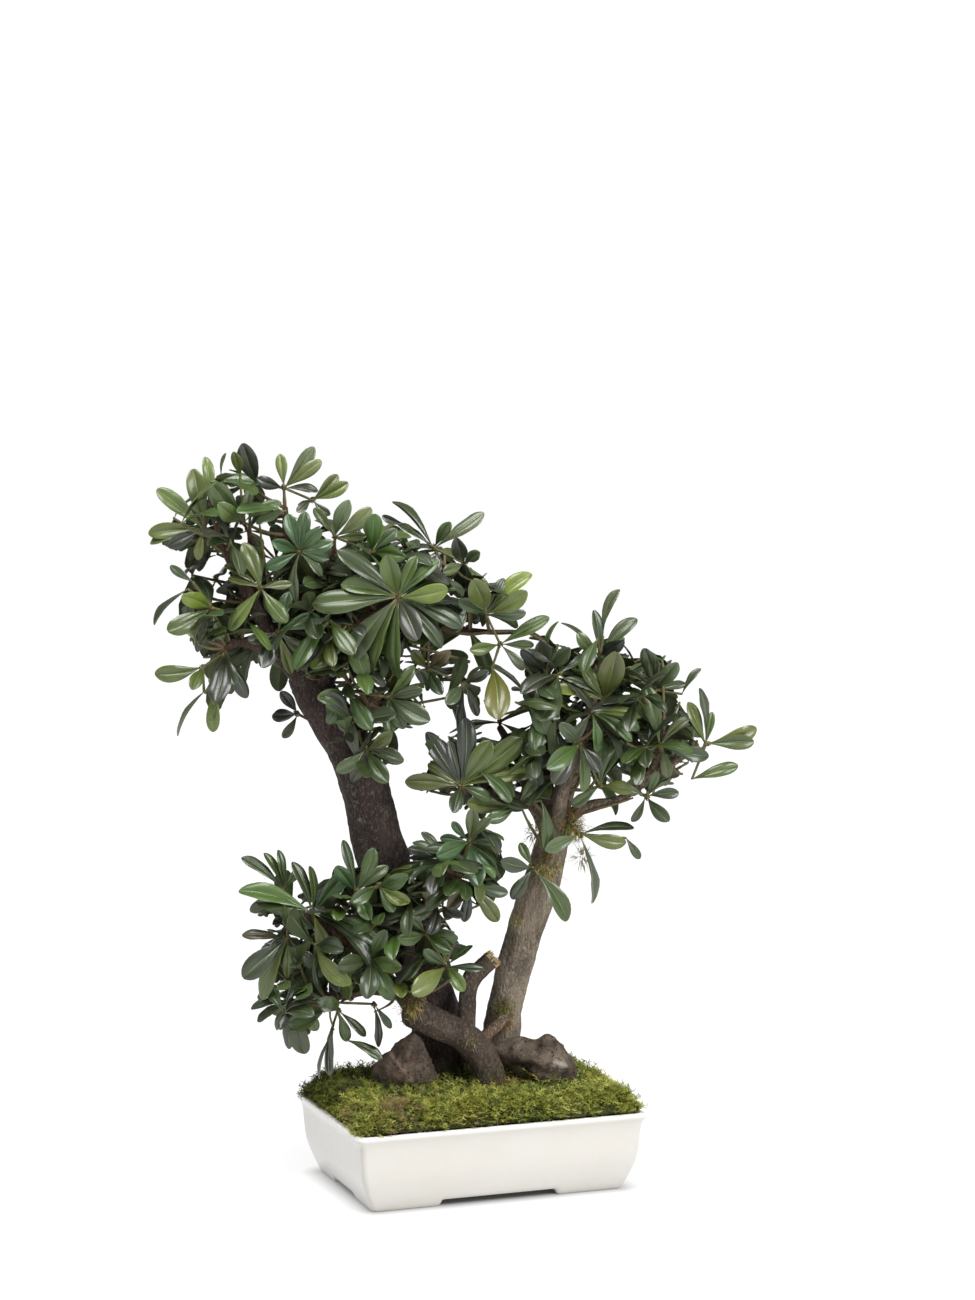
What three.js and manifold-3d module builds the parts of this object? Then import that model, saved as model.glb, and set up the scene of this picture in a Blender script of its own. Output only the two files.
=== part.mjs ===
// A bonsai of Japanese pittosporum in a white glazed pot, in millimetres with +Z up.
// Two tall stems and a low one stand in moss-topped soil between two rocks. Their limbs carry
// sprays, each a twig with its whorls of leathery leaves.

import * as THREE from "three";
import { mergeVertices } from "three/addons/utils/BufferGeometryUtils.js";
import Module from "manifold-3d";

// Driving dimensions

const POT_LENGTH = 313;
const POT_DEPTH = 217;
const POT_CORNER = 6;
const CORNER_STEPS = 3;
// Height and inset from the rim's outline, up the outside and up the inside
const POT_OUTSIDE = [
  [0, 20.5], [4.5, 18.3], [12, 15.1], [19, 12.4], [27, 9.7], [35, 7.5], [46, 6.1],
  [62, 5], [70, 4.1], [74, 2.7], [77, 0.9], [80.5, 0], [82, 1.5],
];
const POT_FLOOR = 15;
const POT_INSIDE = [[POT_FLOOR, 32.5], [22, 25.5], [36, 17], [60, 13.3], [77, 9.5], [82, 7]];
const POT_UNDERSIDE = 7;
const FOOT_WIDTH = 13;
const LONG_GAP = 126;
const SHORT_GAP = 70;
// Which end and which side of the pot each foot is at
const FEET = {
  foot_front_left: [-1, -1],
  foot_front_right: [1, -1],
  foot_back_left: [-1, 1],
  foot_back_right: [1, 1],
};
const DRAIN_RADIUS = 9;
const DRAIN_SIDES = 16;
const DRAIN_SPACING = 140;

const SCREEN_SIDE = 34;
const SCREEN_THICKNESS = 1.6;
const SCREEN_HOLE = 3.6;
const SCREEN_HOLES = 3;

// Flat pieces and cut pieces stay this far from their neighbours
const CLEARANCE = 0.33;

const SOIL_EDGE = 70;
const SOIL_GAP = 0.5;
const MOSS_EDGE = 77;
const MOSS_DEPTH = 8;
// The moss stands up from the wall to this height, then swells by the rise. Near its edge it rounds
// off with this power of the distance from the middle, and it has lumps of this height and size.
const MOSS_SHOULDER = 84;
const MOSS_RISE = 23;
const MOSS_MARGIN = 6.5;
const MOSS_POWER = 12;
const MOSS_LUMP = 2.5;
const MOSS_LUMP_LENGTH = 19;
const MOSS_LUMP_WIDTH = 15;
const MOUND_RINGS = [1, 0.985, 0.94, 0.82, 0.58, 0.28];

const TRUNK_SIDES = 10;
const LIMB_SIDES = 6;
const STUB_SIDES = 8;
const TWIG_SIDES = 4;
const TWIG_BASE = 2.3;
const TWIG_TIP = 1.5;
// Picture pixels that a twig sags by
const TWIG_SAG = 3;
const BUD_RADIUS = 4;

const LEAF_THICKNESS = 1.3;
// The widest a leaf is, as a share of its length, and the longest that one grows
const LEAF_SLENDERNESS = 0.36;
const LEAF_LONGEST = 76;
const LEAF_NARROWEST = 0.29;
// The outline from the stalk round the tip, as shares of the length and of the half width
const LEAF_OUTLINE = [[0, 0], [0.64, 1], [0.96, 0.46], [0.96, -0.46], [0.64, -1]];
const LEAF_ARCH = 0.07;
// How far each blade starts from the middle of its bud, or from the end of its own spur
const STALK_START = 2;
const SPUR_START = -1;
// The turn in radians from each leaf of a whorl to the next
const GOLDEN_TURN = 2.4;
// Leaves that are hidden behind others are this long, and point back or out along their twig
const HIDDEN_SHORTEST = 44;
const HIDDEN_SPREAD = 18;
const HIDDEN_BACK = -0.35;
const HIDDEN_OUT = 0.75;

// Leaves mustn't pass through other sprays or the wood: the distances that a tip may move nearer to
// the eye or farther from it, and the room that they leave
const LEANS = [0, 7, -7, 14, -14, 21, -21, 28, -28, 36, -36, 44, -44];
const FAT_LEAF = 2.6;
const TWIG_MARGIN = 0.6;
// Leaves of one spray may pass through each other up to this share of their length, by their bud
const CROWDED_SHARE = 0.35;
// A twig springs from a place this much lower than its whorl, where the limb has one
const SEAT_DROP = 12;
const SEAT_WEIGHT = 0.6;
const SEAT_STEP = 0.25;

const LOOKS = {
  pot: { color: "#f2efe8", roughness: 0.22, metalness: 0 },
  screen: { color: "#26292b", roughness: 0.6, metalness: 0 },
  soil: { color: "#3b2c20", roughness: 0.95, metalness: 0 },
  moss: { color: "#75872c", roughness: 0.95, metalness: 0 },
  rock: { color: "#5c514a", roughness: 0.85, metalness: 0 },
  dark_bark: { color: "#4c423b", roughness: 0.85, metalness: 0 },
  grey_bark: { color: "#6f6459", roughness: 0.85, metalness: 0 },
  leaf: { color: "#3c5a2c", roughness: 0.38, metalness: 0 },
};

// The view that the plant is laid out in
// It is seen from its front left, 3.5 m away and a little from above. A place is read as a pixel
// across and down in a picture 975 by 1300, and as millimetres towards the eye from the pot's middle.

const VIEW_TURN = THREE.MathUtils.degToRad(20);
const VIEW_TILT = THREE.MathUtils.degToRad(6.22);
const EYE_DISTANCE = 3500;
const EYE_HEIGHT = 938;
const EYE_SHIFT = 18.6;
const FOCAL_PIXELS = 3424;
const MIDDLE_PIXEL = [487.5, 650];

const VIEW_RIGHT = new THREE.Vector3(Math.cos(VIEW_TURN), -Math.sin(VIEW_TURN), 0);
const VIEW_NEAR = new THREE.Vector3(-Math.sin(VIEW_TURN), -Math.cos(VIEW_TURN), 0);
const UP = new THREE.Vector3(0, 0, 1);
const PIXEL = EYE_DISTANCE / FOCAL_PIXELS;

// The point at a pixel, the given distance nearer to the eye than the pot's middle
function seen(across, down, near) {
  const right = (across - MIDDLE_PIXEL[0]) / FOCAL_PIXELS;
  const rise = (MIDDLE_PIXEL[1] - down) / FOCAL_PIXELS;
  const reach = (EYE_DISTANCE - near) / (Math.cos(VIEW_TILT) + rise * Math.sin(VIEW_TILT));
  const height = EYE_HEIGHT + reach * (rise * Math.cos(VIEW_TILT) - Math.sin(VIEW_TILT));
  return new THREE.Vector3()
    .addScaledVector(VIEW_RIGHT, EYE_SHIFT + reach * right)
    .addScaledVector(VIEW_NEAR, near)
    .addScaledVector(UP, height);
}

// Stems: stations of pixel across, pixel down, nearness and radius, from the root up

const TRUNKS = {
  trunk_left: {
    look: "dark_bark",
    stations: [
      [444, 1096, -34, 33], [441, 1064, -34, 29], [433, 1010, -33, 26], [415, 955, -31, 25],
      [395, 900, -28, 24.5], [379, 848, -25, 24.5], [364, 780, -22, 22.5], [346, 738, -20, 22],
      [322, 700, -17, 20.5], [307, 678, -15, 18],
    ],
  },
  trunk_right: {
    look: "grey_bark",
    stations: [
      [500, 1096, -37, 25], [500, 1062, -35, 22.5], [502, 1030, -33, 20], [505, 1008, -32, 18],
      [514, 969, -30, 18], [523, 938, -28, 18], [536, 900, -25, 20], [546, 866, -22, 19],
      [554, 836, -18, 16.5], [559, 812, -15, 14],
    ],
  },
  trunk_low: {
    look: "dark_bark",
    stations: [
      [493, 1100, 13, 18], [490, 1078, 13, 17], [482, 1057, 14, 16], [463, 1036, 17, 15.5],
      [437, 1024, 22, 15.5], [414, 1012, 27, 16],
    ],
  },
};

const LIMBS = {
  left_limb: {
    tree: "trunk_left",
    stations: [
      [314, 690, -15, 14], [284, 655, -2, 10], [258, 612, 12, 7.5], [235, 568, 16, 5.5],
      [218, 538, 12, 3.6],
    ],
  },
  left_low_limb: {
    tree: "trunk_left",
    stations: [[288, 662, -5, 9], [264, 646, 12, 7], [240, 642, 20, 5], [226, 648, 22, 3.4]],
  },
  top_limb: {
    tree: "trunk_left",
    stations: [
      [307, 690, -18, 13], [296, 640, -22, 9.5], [290, 590, -20, 7], [287, 545, -16, 5],
      [285, 508, -12, 3.2],
    ],
  },
  middle_limb: {
    tree: "trunk_left",
    stations: [[294, 622, -21, 7.5], [310, 588, -8, 5.5], [325, 562, 4, 4.2], [334, 548, 12, 3]],
  },
  front_limb: {
    tree: "trunk_left",
    stations: [[316, 690, -12, 13], [334, 652, 6, 9], [362, 622, 24, 6.5], [390, 604, 38, 4.4]],
  },
  bridge_limb: {
    tree: "trunk_left",
    stations: [
      [318, 688, -20, 12], [350, 652, -24, 9.5], [392, 634, -20, 8], [440, 629, -14, 6.5],
      [490, 632, -8, 5.2], [530, 633, -5, 4], [548, 645, -4, 3],
    ],
  },
  right_limb: {
    tree: "trunk_left",
    stations: [[394, 634, -20, 7], [415, 602, -12, 5.5], [434, 575, -8, 4.2], [452, 566, -2, 3.4]],
  },
  back_limb: {
    tree: "trunk_left",
    stations: [
      [304, 690, -24, 13], [288, 640, -50, 9], [270, 592, -70, 6.5], [258, 556, -82, 4.5],
      [250, 538, -86, 3.2],
    ],
  },
  back_right_limb: {
    tree: "trunk_left",
    stations: [[316, 686, -26, 11], [338, 642, -54, 8], [366, 604, -74, 6], [398, 580, -84, 4]],
  },
  throat_limb: {
    tree: "trunk_left",
    stations: [[334, 722, -16, 9], [350, 712, 10, 5], [368, 705, 24, 3.4]],
  },
  collar_limb: {
    tree: "trunk_left",
    stations: [[362, 775, -18, 8], [368, 764, 12, 4], [368, 757, 20, 3.2]],
  },
  right_top_limb: {
    tree: "trunk_right",
    stations: [
      [556, 828, -17, 13], [564, 790, -14, 10], [577, 752, -8, 7.5], [589, 715, 0, 6],
      [597, 684, 4, 4.4], [601, 664, 6, 3.2],
    ],
  },
  right_side_limb: {
    tree: "trunk_right",
    stations: [
      [557, 824, -16, 12], [588, 806, -6, 8.5], [618, 800, 4, 7], [642, 782, 10, 5.8],
      [658, 758, 14, 4.6], [664, 726, 10, 3.2],
    ],
  },
  right_far_limb: {
    tree: "trunk_right",
    stations: [[640, 784, 9, 6], [666, 766, 16, 5], [686, 754, 18, 3.8], [698, 748, 18, 3.2]],
  },
  right_left_limb: {
    tree: "trunk_right",
    stations: [
      [552, 836, -18, 12], [532, 806, -6, 8], [508, 792, 6, 6], [484, 792, 12, 4.6],
      [470, 792, 16, 3.6],
    ],
  },
  right_front_limb: {
    tree: "trunk_right",
    stations: [[557, 830, -14, 11], [562, 796, 10, 7], [571, 764, 26, 5], [577, 742, 34, 3.6]],
  },
  right_up_limb: {
    tree: "trunk_right",
    stations: [
      [554, 828, -20, 11], [545, 782, -24, 8], [538, 738, -22, 6], [538, 705, -18, 4.6],
      [543, 682, -13, 3.2],
    ],
  },
  right_back_limb: {
    tree: "trunk_right",
    stations: [[556, 824, -22, 11], [570, 782, -48, 8], [590, 738, -66, 6], [612, 705, -78, 4.4]],
  },
  right_back_left_limb: {
    tree: "trunk_right",
    stations: [[552, 830, -24, 11], [534, 788, -50, 7], [514, 752, -66, 5.4], [500, 728, -74, 3.8]],
  },
  low_left_limb: {
    tree: "trunk_low",
    stations: [
      [421, 1015, 25, 13], [398, 990, 33, 8.5], [370, 962, 38, 6.5], [340, 936, 40, 5],
      [306, 916, 38, 3.6],
    ],
  },
  low_top_limb: {
    tree: "trunk_low",
    stations: [
      [419, 1013, 25, 12], [411, 975, 32, 8], [410, 940, 38, 6], [425, 905, 40, 4.6],
      [447, 880, 38, 4], [462, 862, 34, 3.2],
    ],
  },
  low_hanging_limb: {
    tree: "trunk_low",
    stations: [[400, 992, 32, 8], [372, 990, 36, 5.5], [340, 996, 36, 4.2], [314, 999, 34, 3.2]],
  },
  low_right_limb: {
    tree: "trunk_low",
    stations: [[413, 984, 30, 7], [430, 972, 38, 4.8], [442, 966, 42, 3.4]],
  },
  low_back_limb: {
    tree: "trunk_low",
    stations: [[382, 974, 36, 7], [356, 950, 12, 5.2], [326, 930, -14, 4.4], [300, 916, -36, 3.4]],
  },
};

const STUB = [
  [465, 1034, 16, 10.5], [467, 1012, 12, 9], [468, 992, 8, 8.8], [472, 978, 4, 10], [482, 968, 1, 9.5],
  [492, 959, -2, 9.5],
];

// Sprays
// A whorl sits at a pixel and a nearness. Each leaf that shows is given by the pixel of its tip and
// its width there in pixels, then by the pixel that it springs from where that isn't the whorl.
// A whorl on the far side, which other leaves hide, has its count of leaves all round instead.

const SPRAYS = {
  peak_leaves: {
    limb: "top_limb",
    whorls: [
      {
        at: [284, 488, -8],
        leaves: [
          [280, 454, 12], [314, 447, 15], [321, 461, 14], [258, 479, 13], [214, 479, 13],
          [318, 490, 9], [243, 444, 20, 258, 484],
        ],
      },
      { at: [312, 500, -12], leaves: [[338, 475, 13], [348, 483, 14], [297, 512, 9], [330, 515, 9]] },
    ],
  },
  outer_left_leaves: {
    limb: "left_limb",
    whorls: [
      {
        at: [204, 529, 14],
        leaves: [
          [157, 489, 17], [193, 469, 20], [148, 533, 16], [150, 543, 12], [206, 457, 12, 208, 500],
          [230, 544, 8], [198, 560, 10], [168, 547, 14],
        ],
      },
    ],
  },
  upper_left_leaves: {
    limb: "top_limb",
    whorls: [
      {
        at: [243, 522, 6],
        leaves: [
          [210, 482, 22], [250, 490, 10], [281, 502, 11], [234, 452, 11, 240, 475],
          [226, 453, 4, 221, 474], [220, 506, 18],
        ],
      },
    ],
  },
  rosette_leaves: {
    limb: "top_limb",
    whorls: [
      {
        at: [299, 552, 32],
        leaves: [
          [288, 514, 14], [305, 512, 14], [321, 529, 14], [272, 541, 13], [333, 542, 12],
          [329, 559, 10], [266, 568, 13], [322, 576, 8], [296, 602, 10],
        ],
      },
    ],
  },
  inner_left_leaves: {
    limb: "left_limb",
    whorls: [
      {
        at: [261, 588, 40],
        leaves: [
          [243, 543, 16], [228, 630, 15], [286, 622, 16], [292, 584, 9], [226, 563, 8], [240, 556, 7],
          [228, 578, 8],
        ],
      },
    ],
  },
  left_leaves: {
    limb: "left_limb",
    whorls: [
      {
        at: [212, 608, 26],
        leaves: [
          [183, 596, 18], [168, 631, 20], [197, 652, 10], [222, 640, 12], [153, 624, 5, 188, 589],
          [170, 566, 9, 193, 582],
        ],
      },
    ],
  },
  drooping_left_leaves: {
    limb: "left_low_limb",
    whorls: [
      {
        at: [224, 652, 26],
        leaves: [[213, 732, 14, 215, 688], [215, 702, 22], [247, 698, 14], [234, 684, 14]],
      },
      { at: [203, 667, 28], leaves: [[155, 674, 18], [192, 690, 14], [177, 736, 6, 204, 692]] },
    ],
  },
  throat_leaves: {
    limb: "left_limb",
    whorls: [
      {
        at: [278, 632, 32],
        leaves: [
          [292, 674, 12], [262, 668, 18], [248, 640, 12], [316, 655, 14], [289, 592, 13],
          [320, 617, 16],
        ],
      },
    ],
  },
  nape_leaves: {
    limb: "trunk_left",
    whorls: [{ at: [298, 714, -48], leaves: [[272, 716, 14], [281, 692, 12], [283, 738, 10]] }],
  },
  middle_top_leaves: {
    limb: "middle_limb",
    whorls: [
      {
        at: [335, 537, 20],
        leaves: [[348, 502, 16], [371, 509, 17], [314, 508, 10], [366, 536, 10], [322, 570, 9]],
      },
      { at: [372, 552, 16], leaves: [[374, 514, 18], [397, 529, 12], [404, 557, 16]] },
    ],
  },
  great_whorl_leaves: {
    limb: "front_limb",
    whorls: [
      {
        at: [398, 597, 54],
        leaves: [
          [337, 551, 17], [341, 584, 15], [312, 604, 22], [350, 660, 21], [372, 674, 15], [395, 679, 18],
          [418, 640, 22], [443, 647, 16], [463, 624, 14], [448, 589, 19], [438, 560, 12], [416, 556, 12],
          [387, 555, 20],
        ],
      },
    ],
  },
  right_top_leaves: {
    limb: "right_limb",
    whorls: [
      {
        at: [434, 548, -2],
        leaves: [[393, 501, 6], [484, 513, 13], [398, 524, 7], [382, 516, 8, 405, 524], [450, 522, 12]],
      },
      { at: [464, 563, 8], leaves: [[457, 540, 16], [480, 552, 12], [489, 594, 10], [443, 572, 12]] },
    ],
  },
  right_edge_leaves: {
    limb: "bridge_limb",
    whorls: [
      {
        at: [486, 614, 24],
        leaves: [
          [473, 580, 22], [459, 600, 14], [531, 573, 15], [527, 592, 18], [503, 578, 10],
          [526, 613, 12],
        ],
      },
      {
        at: [500, 644, 14],
        leaves: [
          [549, 617, 14], [524, 670, 10], [534, 645, 9], [470, 650, 13], [497, 717, 26, 492, 668],
        ],
      },
    ],
  },
  upper_trunk_leaves: {
    limb: "throat_limb",
    whorls: [
      {
        at: [347, 691, 30],
        leaves: [[318, 698, 16], [328, 724, 14], [371, 729, 18], [382, 672, 12], [343, 732, 12]],
      },
      {
        at: [388, 697, 36],
        leaves: [[391, 733, 14], [404, 728, 14], [430, 721, 21], [421, 690, 14], [414, 666, 12]],
      },
    ],
  },
  collar_leaves: {
    limb: "collar_limb",
    whorls: [
      {
        at: [367, 749, 26],
        leaves: [[337, 772, 14], [388, 782, 18], [402, 761, 16], [392, 732, 14], [352, 782, 12]],
      },
    ],
  },
  shaded_middle_leaves: {
    limb: "bridge_limb",
    whorls: [
      { at: [428, 668, 2], leaves: [[441, 694, 13], [412, 650, 12], [448, 652, 14]] },
      { at: [464, 684, 8], leaves: [[488, 672, 11], [463, 737, 10], [446, 704, 14], [478, 716, 10]] },
    ],
  },
  right_peak_leaves: {
    limb: "right_top_limb",
    whorls: [
      {
        at: [600, 656, 8],
        leaves: [
          [594, 610, 12], [618, 589, 8, 603, 636], [636, 618, 14], [562, 622, 5], [578, 634, 13],
          [622, 642, 16],
        ],
      },
    ],
  },
  right_shoulder_leaves: {
    limb: "right_up_limb",
    whorls: [
      {
        at: [546, 672, -8],
        leaves: [
          [556, 621, 6], [541, 640, 16], [570, 648, 15], [521, 650, 13], [520, 690, 12],
          [538, 712, 12],
        ],
      },
    ],
  },
  right_face_leaves: {
    limb: "right_top_limb",
    whorls: [
      {
        at: [604, 700, 26],
        leaves: [[617, 652, 25], [583, 664, 12], [566, 676, 8], [549, 690, 12], [640, 700, 12]],
      },
      {
        at: [592, 712, 44],
        leaves: [[640, 728, 12], [632, 741, 10], [641, 715, 10], [566, 742, 12], [598, 752, 11]],
      },
    ],
  },
  right_crest_leaves: {
    limb: "right_side_limb",
    whorls: [
      {
        at: [655, 690, 4],
        leaves: [
          [677, 663, 18], [645, 650, 18], [626, 668, 13], [686, 684, 9], [700, 668, 6, 682, 694],
        ],
      },
    ],
  },
  right_flank_leaves: {
    limb: "right_side_limb",
    whorls: [
      {
        at: [660, 745, 24],
        leaves: [[645, 685, 18], [709, 757, 15], [668, 778, 12], [626, 762, 13], [690, 716, 10]],
      },
    ],
  },
  right_tip_leaves: {
    limb: "right_far_limb",
    whorls: [
      {
        at: [706, 744, 20],
        leaves: [
          [757, 729, 17], [754, 742, 16], [700, 688, 9], [689, 702, 12], [738, 765, 13, 692, 779],
          [712, 712, 9],
        ],
      },
    ],
  },
  right_under_leaves: {
    limb: "right_side_limb",
    whorls: [
      {
        at: [646, 796, 16],
        leaves: [
          [669, 821, 14], [679, 793, 12], [612, 782, 12], [632, 822, 9], [657, 772, 10, 648, 792],
        ],
      },
    ],
  },
  right_lower_leaves: {
    limb: "right_front_limb",
    whorls: [
      { at: [600, 786, 30], leaves: [[601, 738, 16], [620, 745, 12], [632, 790, 14], [572, 806, 12]] },
      {
        at: [580, 744, 42],
        leaves: [[547, 768, 20], [554, 784, 19], [600, 772, 14], [560, 724, 14], [584, 792, 12]],
      },
    ],
  },
  near_left_leaves: {
    limb: "right_left_limb",
    whorls: [
      {
        at: [461, 786, 24],
        leaves: [
          [427, 732, 17], [405, 782, 18], [428, 764, 13], [453, 813, 15], [466, 718, 20],
          [449, 741, 12], [491, 741, 20], [523, 738, 24], [534, 771, 12], [490, 800, 13],
        ],
      },
    ],
  },
  near_low_leaves: {
    limb: "right_left_limb",
    whorls: [
      {
        at: [517, 806, 20],
        leaves: [
          [467, 803, 19], [487, 820, 14], [539, 776, 12], [548, 852, 14, 541, 800], [505, 776, 10],
        ],
      },
    ],
  },
  right_trunk_leaves: {
    limb: "trunk_right",
    whorls: [
      { at: [533, 868, 14], leaves: [[512, 899, 14], [501, 861, 16], [567, 921, 17], [520, 843, 10]] },
    ],
  },
  right_fork_leaves: {
    limb: "right_side_limb",
    whorls: [
      {
        at: [580, 834, 10],
        leaves: [[545, 850, 15], [626, 843, 16], [634, 828, 7], [594, 903, 6], [640, 859, 9, 626, 838]],
      },
    ],
  },
  low_rosette_leaves: {
    limb: "low_top_limb",
    whorls: [
      {
        at: [469, 842, 40],
        leaves: [
          [452, 822, 9], [473, 808, 14], [492, 818, 9], [499, 842, 10], [437, 856, 19], [478, 884, 21],
          [496, 872, 12], [440, 838, 10],
        ],
      },
      {
        at: [444, 858, 34],
        leaves: [[422, 832, 9], [409, 848, 10], [432, 888, 19], [402, 872, 15], [420, 868, 12]],
      },
    ],
  },
  low_right_leaves: {
    limb: "low_top_limb",
    whorls: [
      { at: [470, 884, 44], leaves: [[498, 922, 16], [508, 893, 13], [448, 908, 14], [464, 922, 12]] },
      { at: [438, 904, 44], leaves: [[424, 884, 13], [464, 916, 10], [412, 916, 15], [430, 934, 14]] },
    ],
  },
  low_left_leaves: {
    limb: "low_left_limb",
    whorls: [
      {
        at: [312, 912, 46],
        leaves: [
          [239, 890, 17], [256, 902, 15], [346, 872, 18], [310, 866, 8], [382, 944, 13],
          [372, 962, 9], [327, 954, 15], [292, 862, 11],
        ],
      },
    ],
  },
  low_outer_leaves: {
    limb: "low_left_limb",
    whorls: [
      {
        at: [284, 890, 30],
        leaves: [[242, 857, 9], [264, 853, 7], [250, 912, 13], [280, 850, 8], [300, 868, 9]],
      },
      {
        at: [288, 938, 38],
        leaves: [[242, 934, 9], [243, 978, 23], [262, 1000, 17], [288, 978, 12], [318, 968, 14]],
      },
    ],
  },
  low_top_leaves: {
    limb: "low_left_limb",
    whorls: [
      {
        at: [356, 892, 44],
        leaves: [[343, 840, 9], [370, 920, 15], [374, 848, 15], [336, 866, 14], [388, 866, 12]],
      },
      { at: [378, 886, 52], leaves: [[406, 877, 16], [409, 902, 14], [352, 902, 14], [394, 912, 12]] },
    ],
  },
  low_front_leaves: {
    limb: "low_left_limb",
    whorls: [
      {
        at: [370, 958, 56],
        leaves: [
          [367, 997, 19], [338, 966, 21], [392, 1000, 18], [402, 968, 16], [352, 930, 13],
          [386, 930, 14],
        ],
      },
    ],
  },
  low_corner_leaves: {
    limb: "low_right_limb",
    whorls: [
      {
        at: [446, 966, 50],
        leaves: [[412, 993, 22], [464, 991, 14], [472, 945, 6], [484, 968, 8], [424, 950, 12]],
      },
      { at: [426, 934, 52], leaves: [[456, 938, 14], [452, 952, 14], [398, 938, 15], [408, 912, 12]] },
    ],
  },
  hanging_leaves: {
    limb: "low_hanging_limb",
    whorls: [
      {
        at: [292, 1001, 38],
        leaves: [
          [257, 1021, 8], [251, 1009, 7], [276, 1030, 7], [289, 1049, 11], [305, 1054, 20],
          [318, 1030, 14],
        ],
      },
      {
        at: [338, 1010, 42],
        leaves: [
          [347, 1042, 12], [382, 1059, 8, 345, 1040], [328, 1075, 7], [319, 1079, 5, 328, 1040],
          [366, 1036, 8],
        ],
      },
      { at: [374, 1004, 46], leaves: [[379, 1047, 8], [392, 1028, 7]] },
    ],
  },

  back_crown_top_leaves: {
    limb: "back_limb",
    whorls: [{ at: [248, 530, -92], round: 5 }, { at: [276, 560, -98], round: 4 }],
  },
  back_crown_left_leaves: {
    limb: "back_limb",
    whorls: [{ at: [236, 600, -90], round: 5 }, { at: [216, 580, -72], round: 4 }],
  },
  back_crown_low_leaves: {
    limb: "back_limb",
    whorls: [{ at: [282, 640, -92], round: 5 }, { at: [318, 600, -96], round: 4 }],
  },
  back_crown_middle_leaves: {
    limb: "back_right_limb",
    whorls: [{ at: [346, 572, -96], round: 5 }, { at: [384, 610, -104], round: 4 }],
  },
  back_crown_right_leaves: {
    limb: "back_right_limb",
    whorls: [{ at: [410, 575, -94], round: 5 }, { at: [438, 592, -78], round: 4 }],
  },
  back_crown_side_leaves: {
    limb: "bridge_limb",
    whorls: [{ at: [468, 628, -52], round: 4 }, { at: [420, 660, -60], round: 4 }],
  },
  back_right_top_leaves: {
    limb: "right_back_limb",
    whorls: [{ at: [618, 700, -86], round: 5 }, { at: [600, 672, -70], round: 4 }],
  },
  back_right_low_leaves: {
    limb: "right_back_limb",
    whorls: [{ at: [640, 744, -68], round: 5 }, { at: [590, 770, -92], round: 4 }],
  },
  back_right_left_leaves: {
    limb: "right_back_left_limb",
    whorls: [{ at: [500, 722, -80], round: 5 }, { at: [532, 700, -72], round: 4 }],
  },
  back_low_leaves: {
    limb: "low_back_limb",
    whorls: [{ at: [294, 912, -44], round: 5 }, { at: [330, 900, -52], round: 4 }],
  },
};

// Rocks

// A lump is a ball stretched to its half sizes in the view, flattened where a facet cuts it.
// A facet is its direction, as right, near and up, and its distance as a share of the half sizes.

const ROCKS = {
  rock_left: [
    {
      at: [404, 1070, 10],
      half: [34, 28, 38],
      facets: [
        [0.35, 0.1, 0.93, 0.92], [-0.75, 0.1, 0.65, 0.72], [0.9, 0.2, 0.3, 0.8], [-0.25, 0.95, 0.2, 0.74],
        [0.5, 0.8, 0.1, 0.78], [-0.95, -0.2, -0.1, 0.86], [0.1, -0.95, 0.3, 0.8], [0, 0, -1, 0.7],
      ],
    },
  ],
  rock_right: [
    {
      at: [548, 1066, 8],
      half: [31, 30, 34],
      facets: [
        [0.1, 0.1, 0.99, 0.84], [0.8, 0.1, 0.55, 0.8], [-0.5, 0.1, 0.85, 0.8], [0.1, 0.98, 0.2, 0.78],
        [0.7, 0.7, 0, 0.84], [0, -0.95, 0.3, 0.8], [0, 0, -1, 0.7],
      ],
    },
    {
      at: [518, 1054, 4],
      half: [30, 26, 19],
      facets: [[-0.3, 0.1, 0.95, 0.8], [-0.8, 0.4, 0.4, 0.85], [0.1, 0.95, -0.2, 0.8], [0, 0, -1, 0.72]],
    },
  ],
};

const ROCK_DETAIL = 1;

// Closed skins

// Fans out a flat or gently domed ring from its middle, as one end of a skin
function closeRing(faces, ring, outward) {
  const middle = ring.reduce((sum, point) => sum.add(point), new THREE.Vector3()).divideScalar(ring.length);
  ring.forEach((point, i) => {
    const next = ring[(i + 1) % ring.length];
    faces.push(...(outward ? [point, next, middle] : [next, point, middle]));
  });
}

// Skins a row of rings that turn anticlockwise about the direction they advance in
function loft(rings) {
  const faces = [];
  closeRing(faces, rings[0], false);
  for (let r = 0; r + 1 < rings.length; r++) {
    rings[r].forEach((point, i) => {
      const j = (i + 1) % rings[r].length;
      faces.push(point, rings[r][j], rings[r + 1][j], point, rings[r + 1][j], rings[r + 1][i]);
    });
  }
  closeRing(faces, rings[rings.length - 1], true);
  return new THREE.BufferGeometry().setFromPoints(faces);
}

// Joins and cuts

const library = await Module();
library.setup();

function solidOf(geometry) {
  const bare = geometry.clone();
  bare.deleteAttribute("normal");
  bare.deleteAttribute("uv");
  const merged = mergeVertices(bare, 1e-4);
  return new library.Manifold(
    new library.Mesh({
      numProp: 3,
      vertProperties: merged.attributes.position.array,
      triVerts: new Uint32Array(merged.index.array),
    }),
  );
}

function geometryOf(solid) {
  const { vertProperties, triVerts } = solid.getMesh();
  return new THREE.BufferGeometry()
    .setAttribute("position", new THREE.BufferAttribute(vertProperties, 3))
    .setIndex(new THREE.BufferAttribute(triVerts, 1));
}

const joined = (solids) => solids.reduce((sum, solid) => sum.add(solid));
const cutBy = (solid, tools) => tools.reduce((left, tool) => left.subtract(tool), solid);

// Pot

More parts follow.
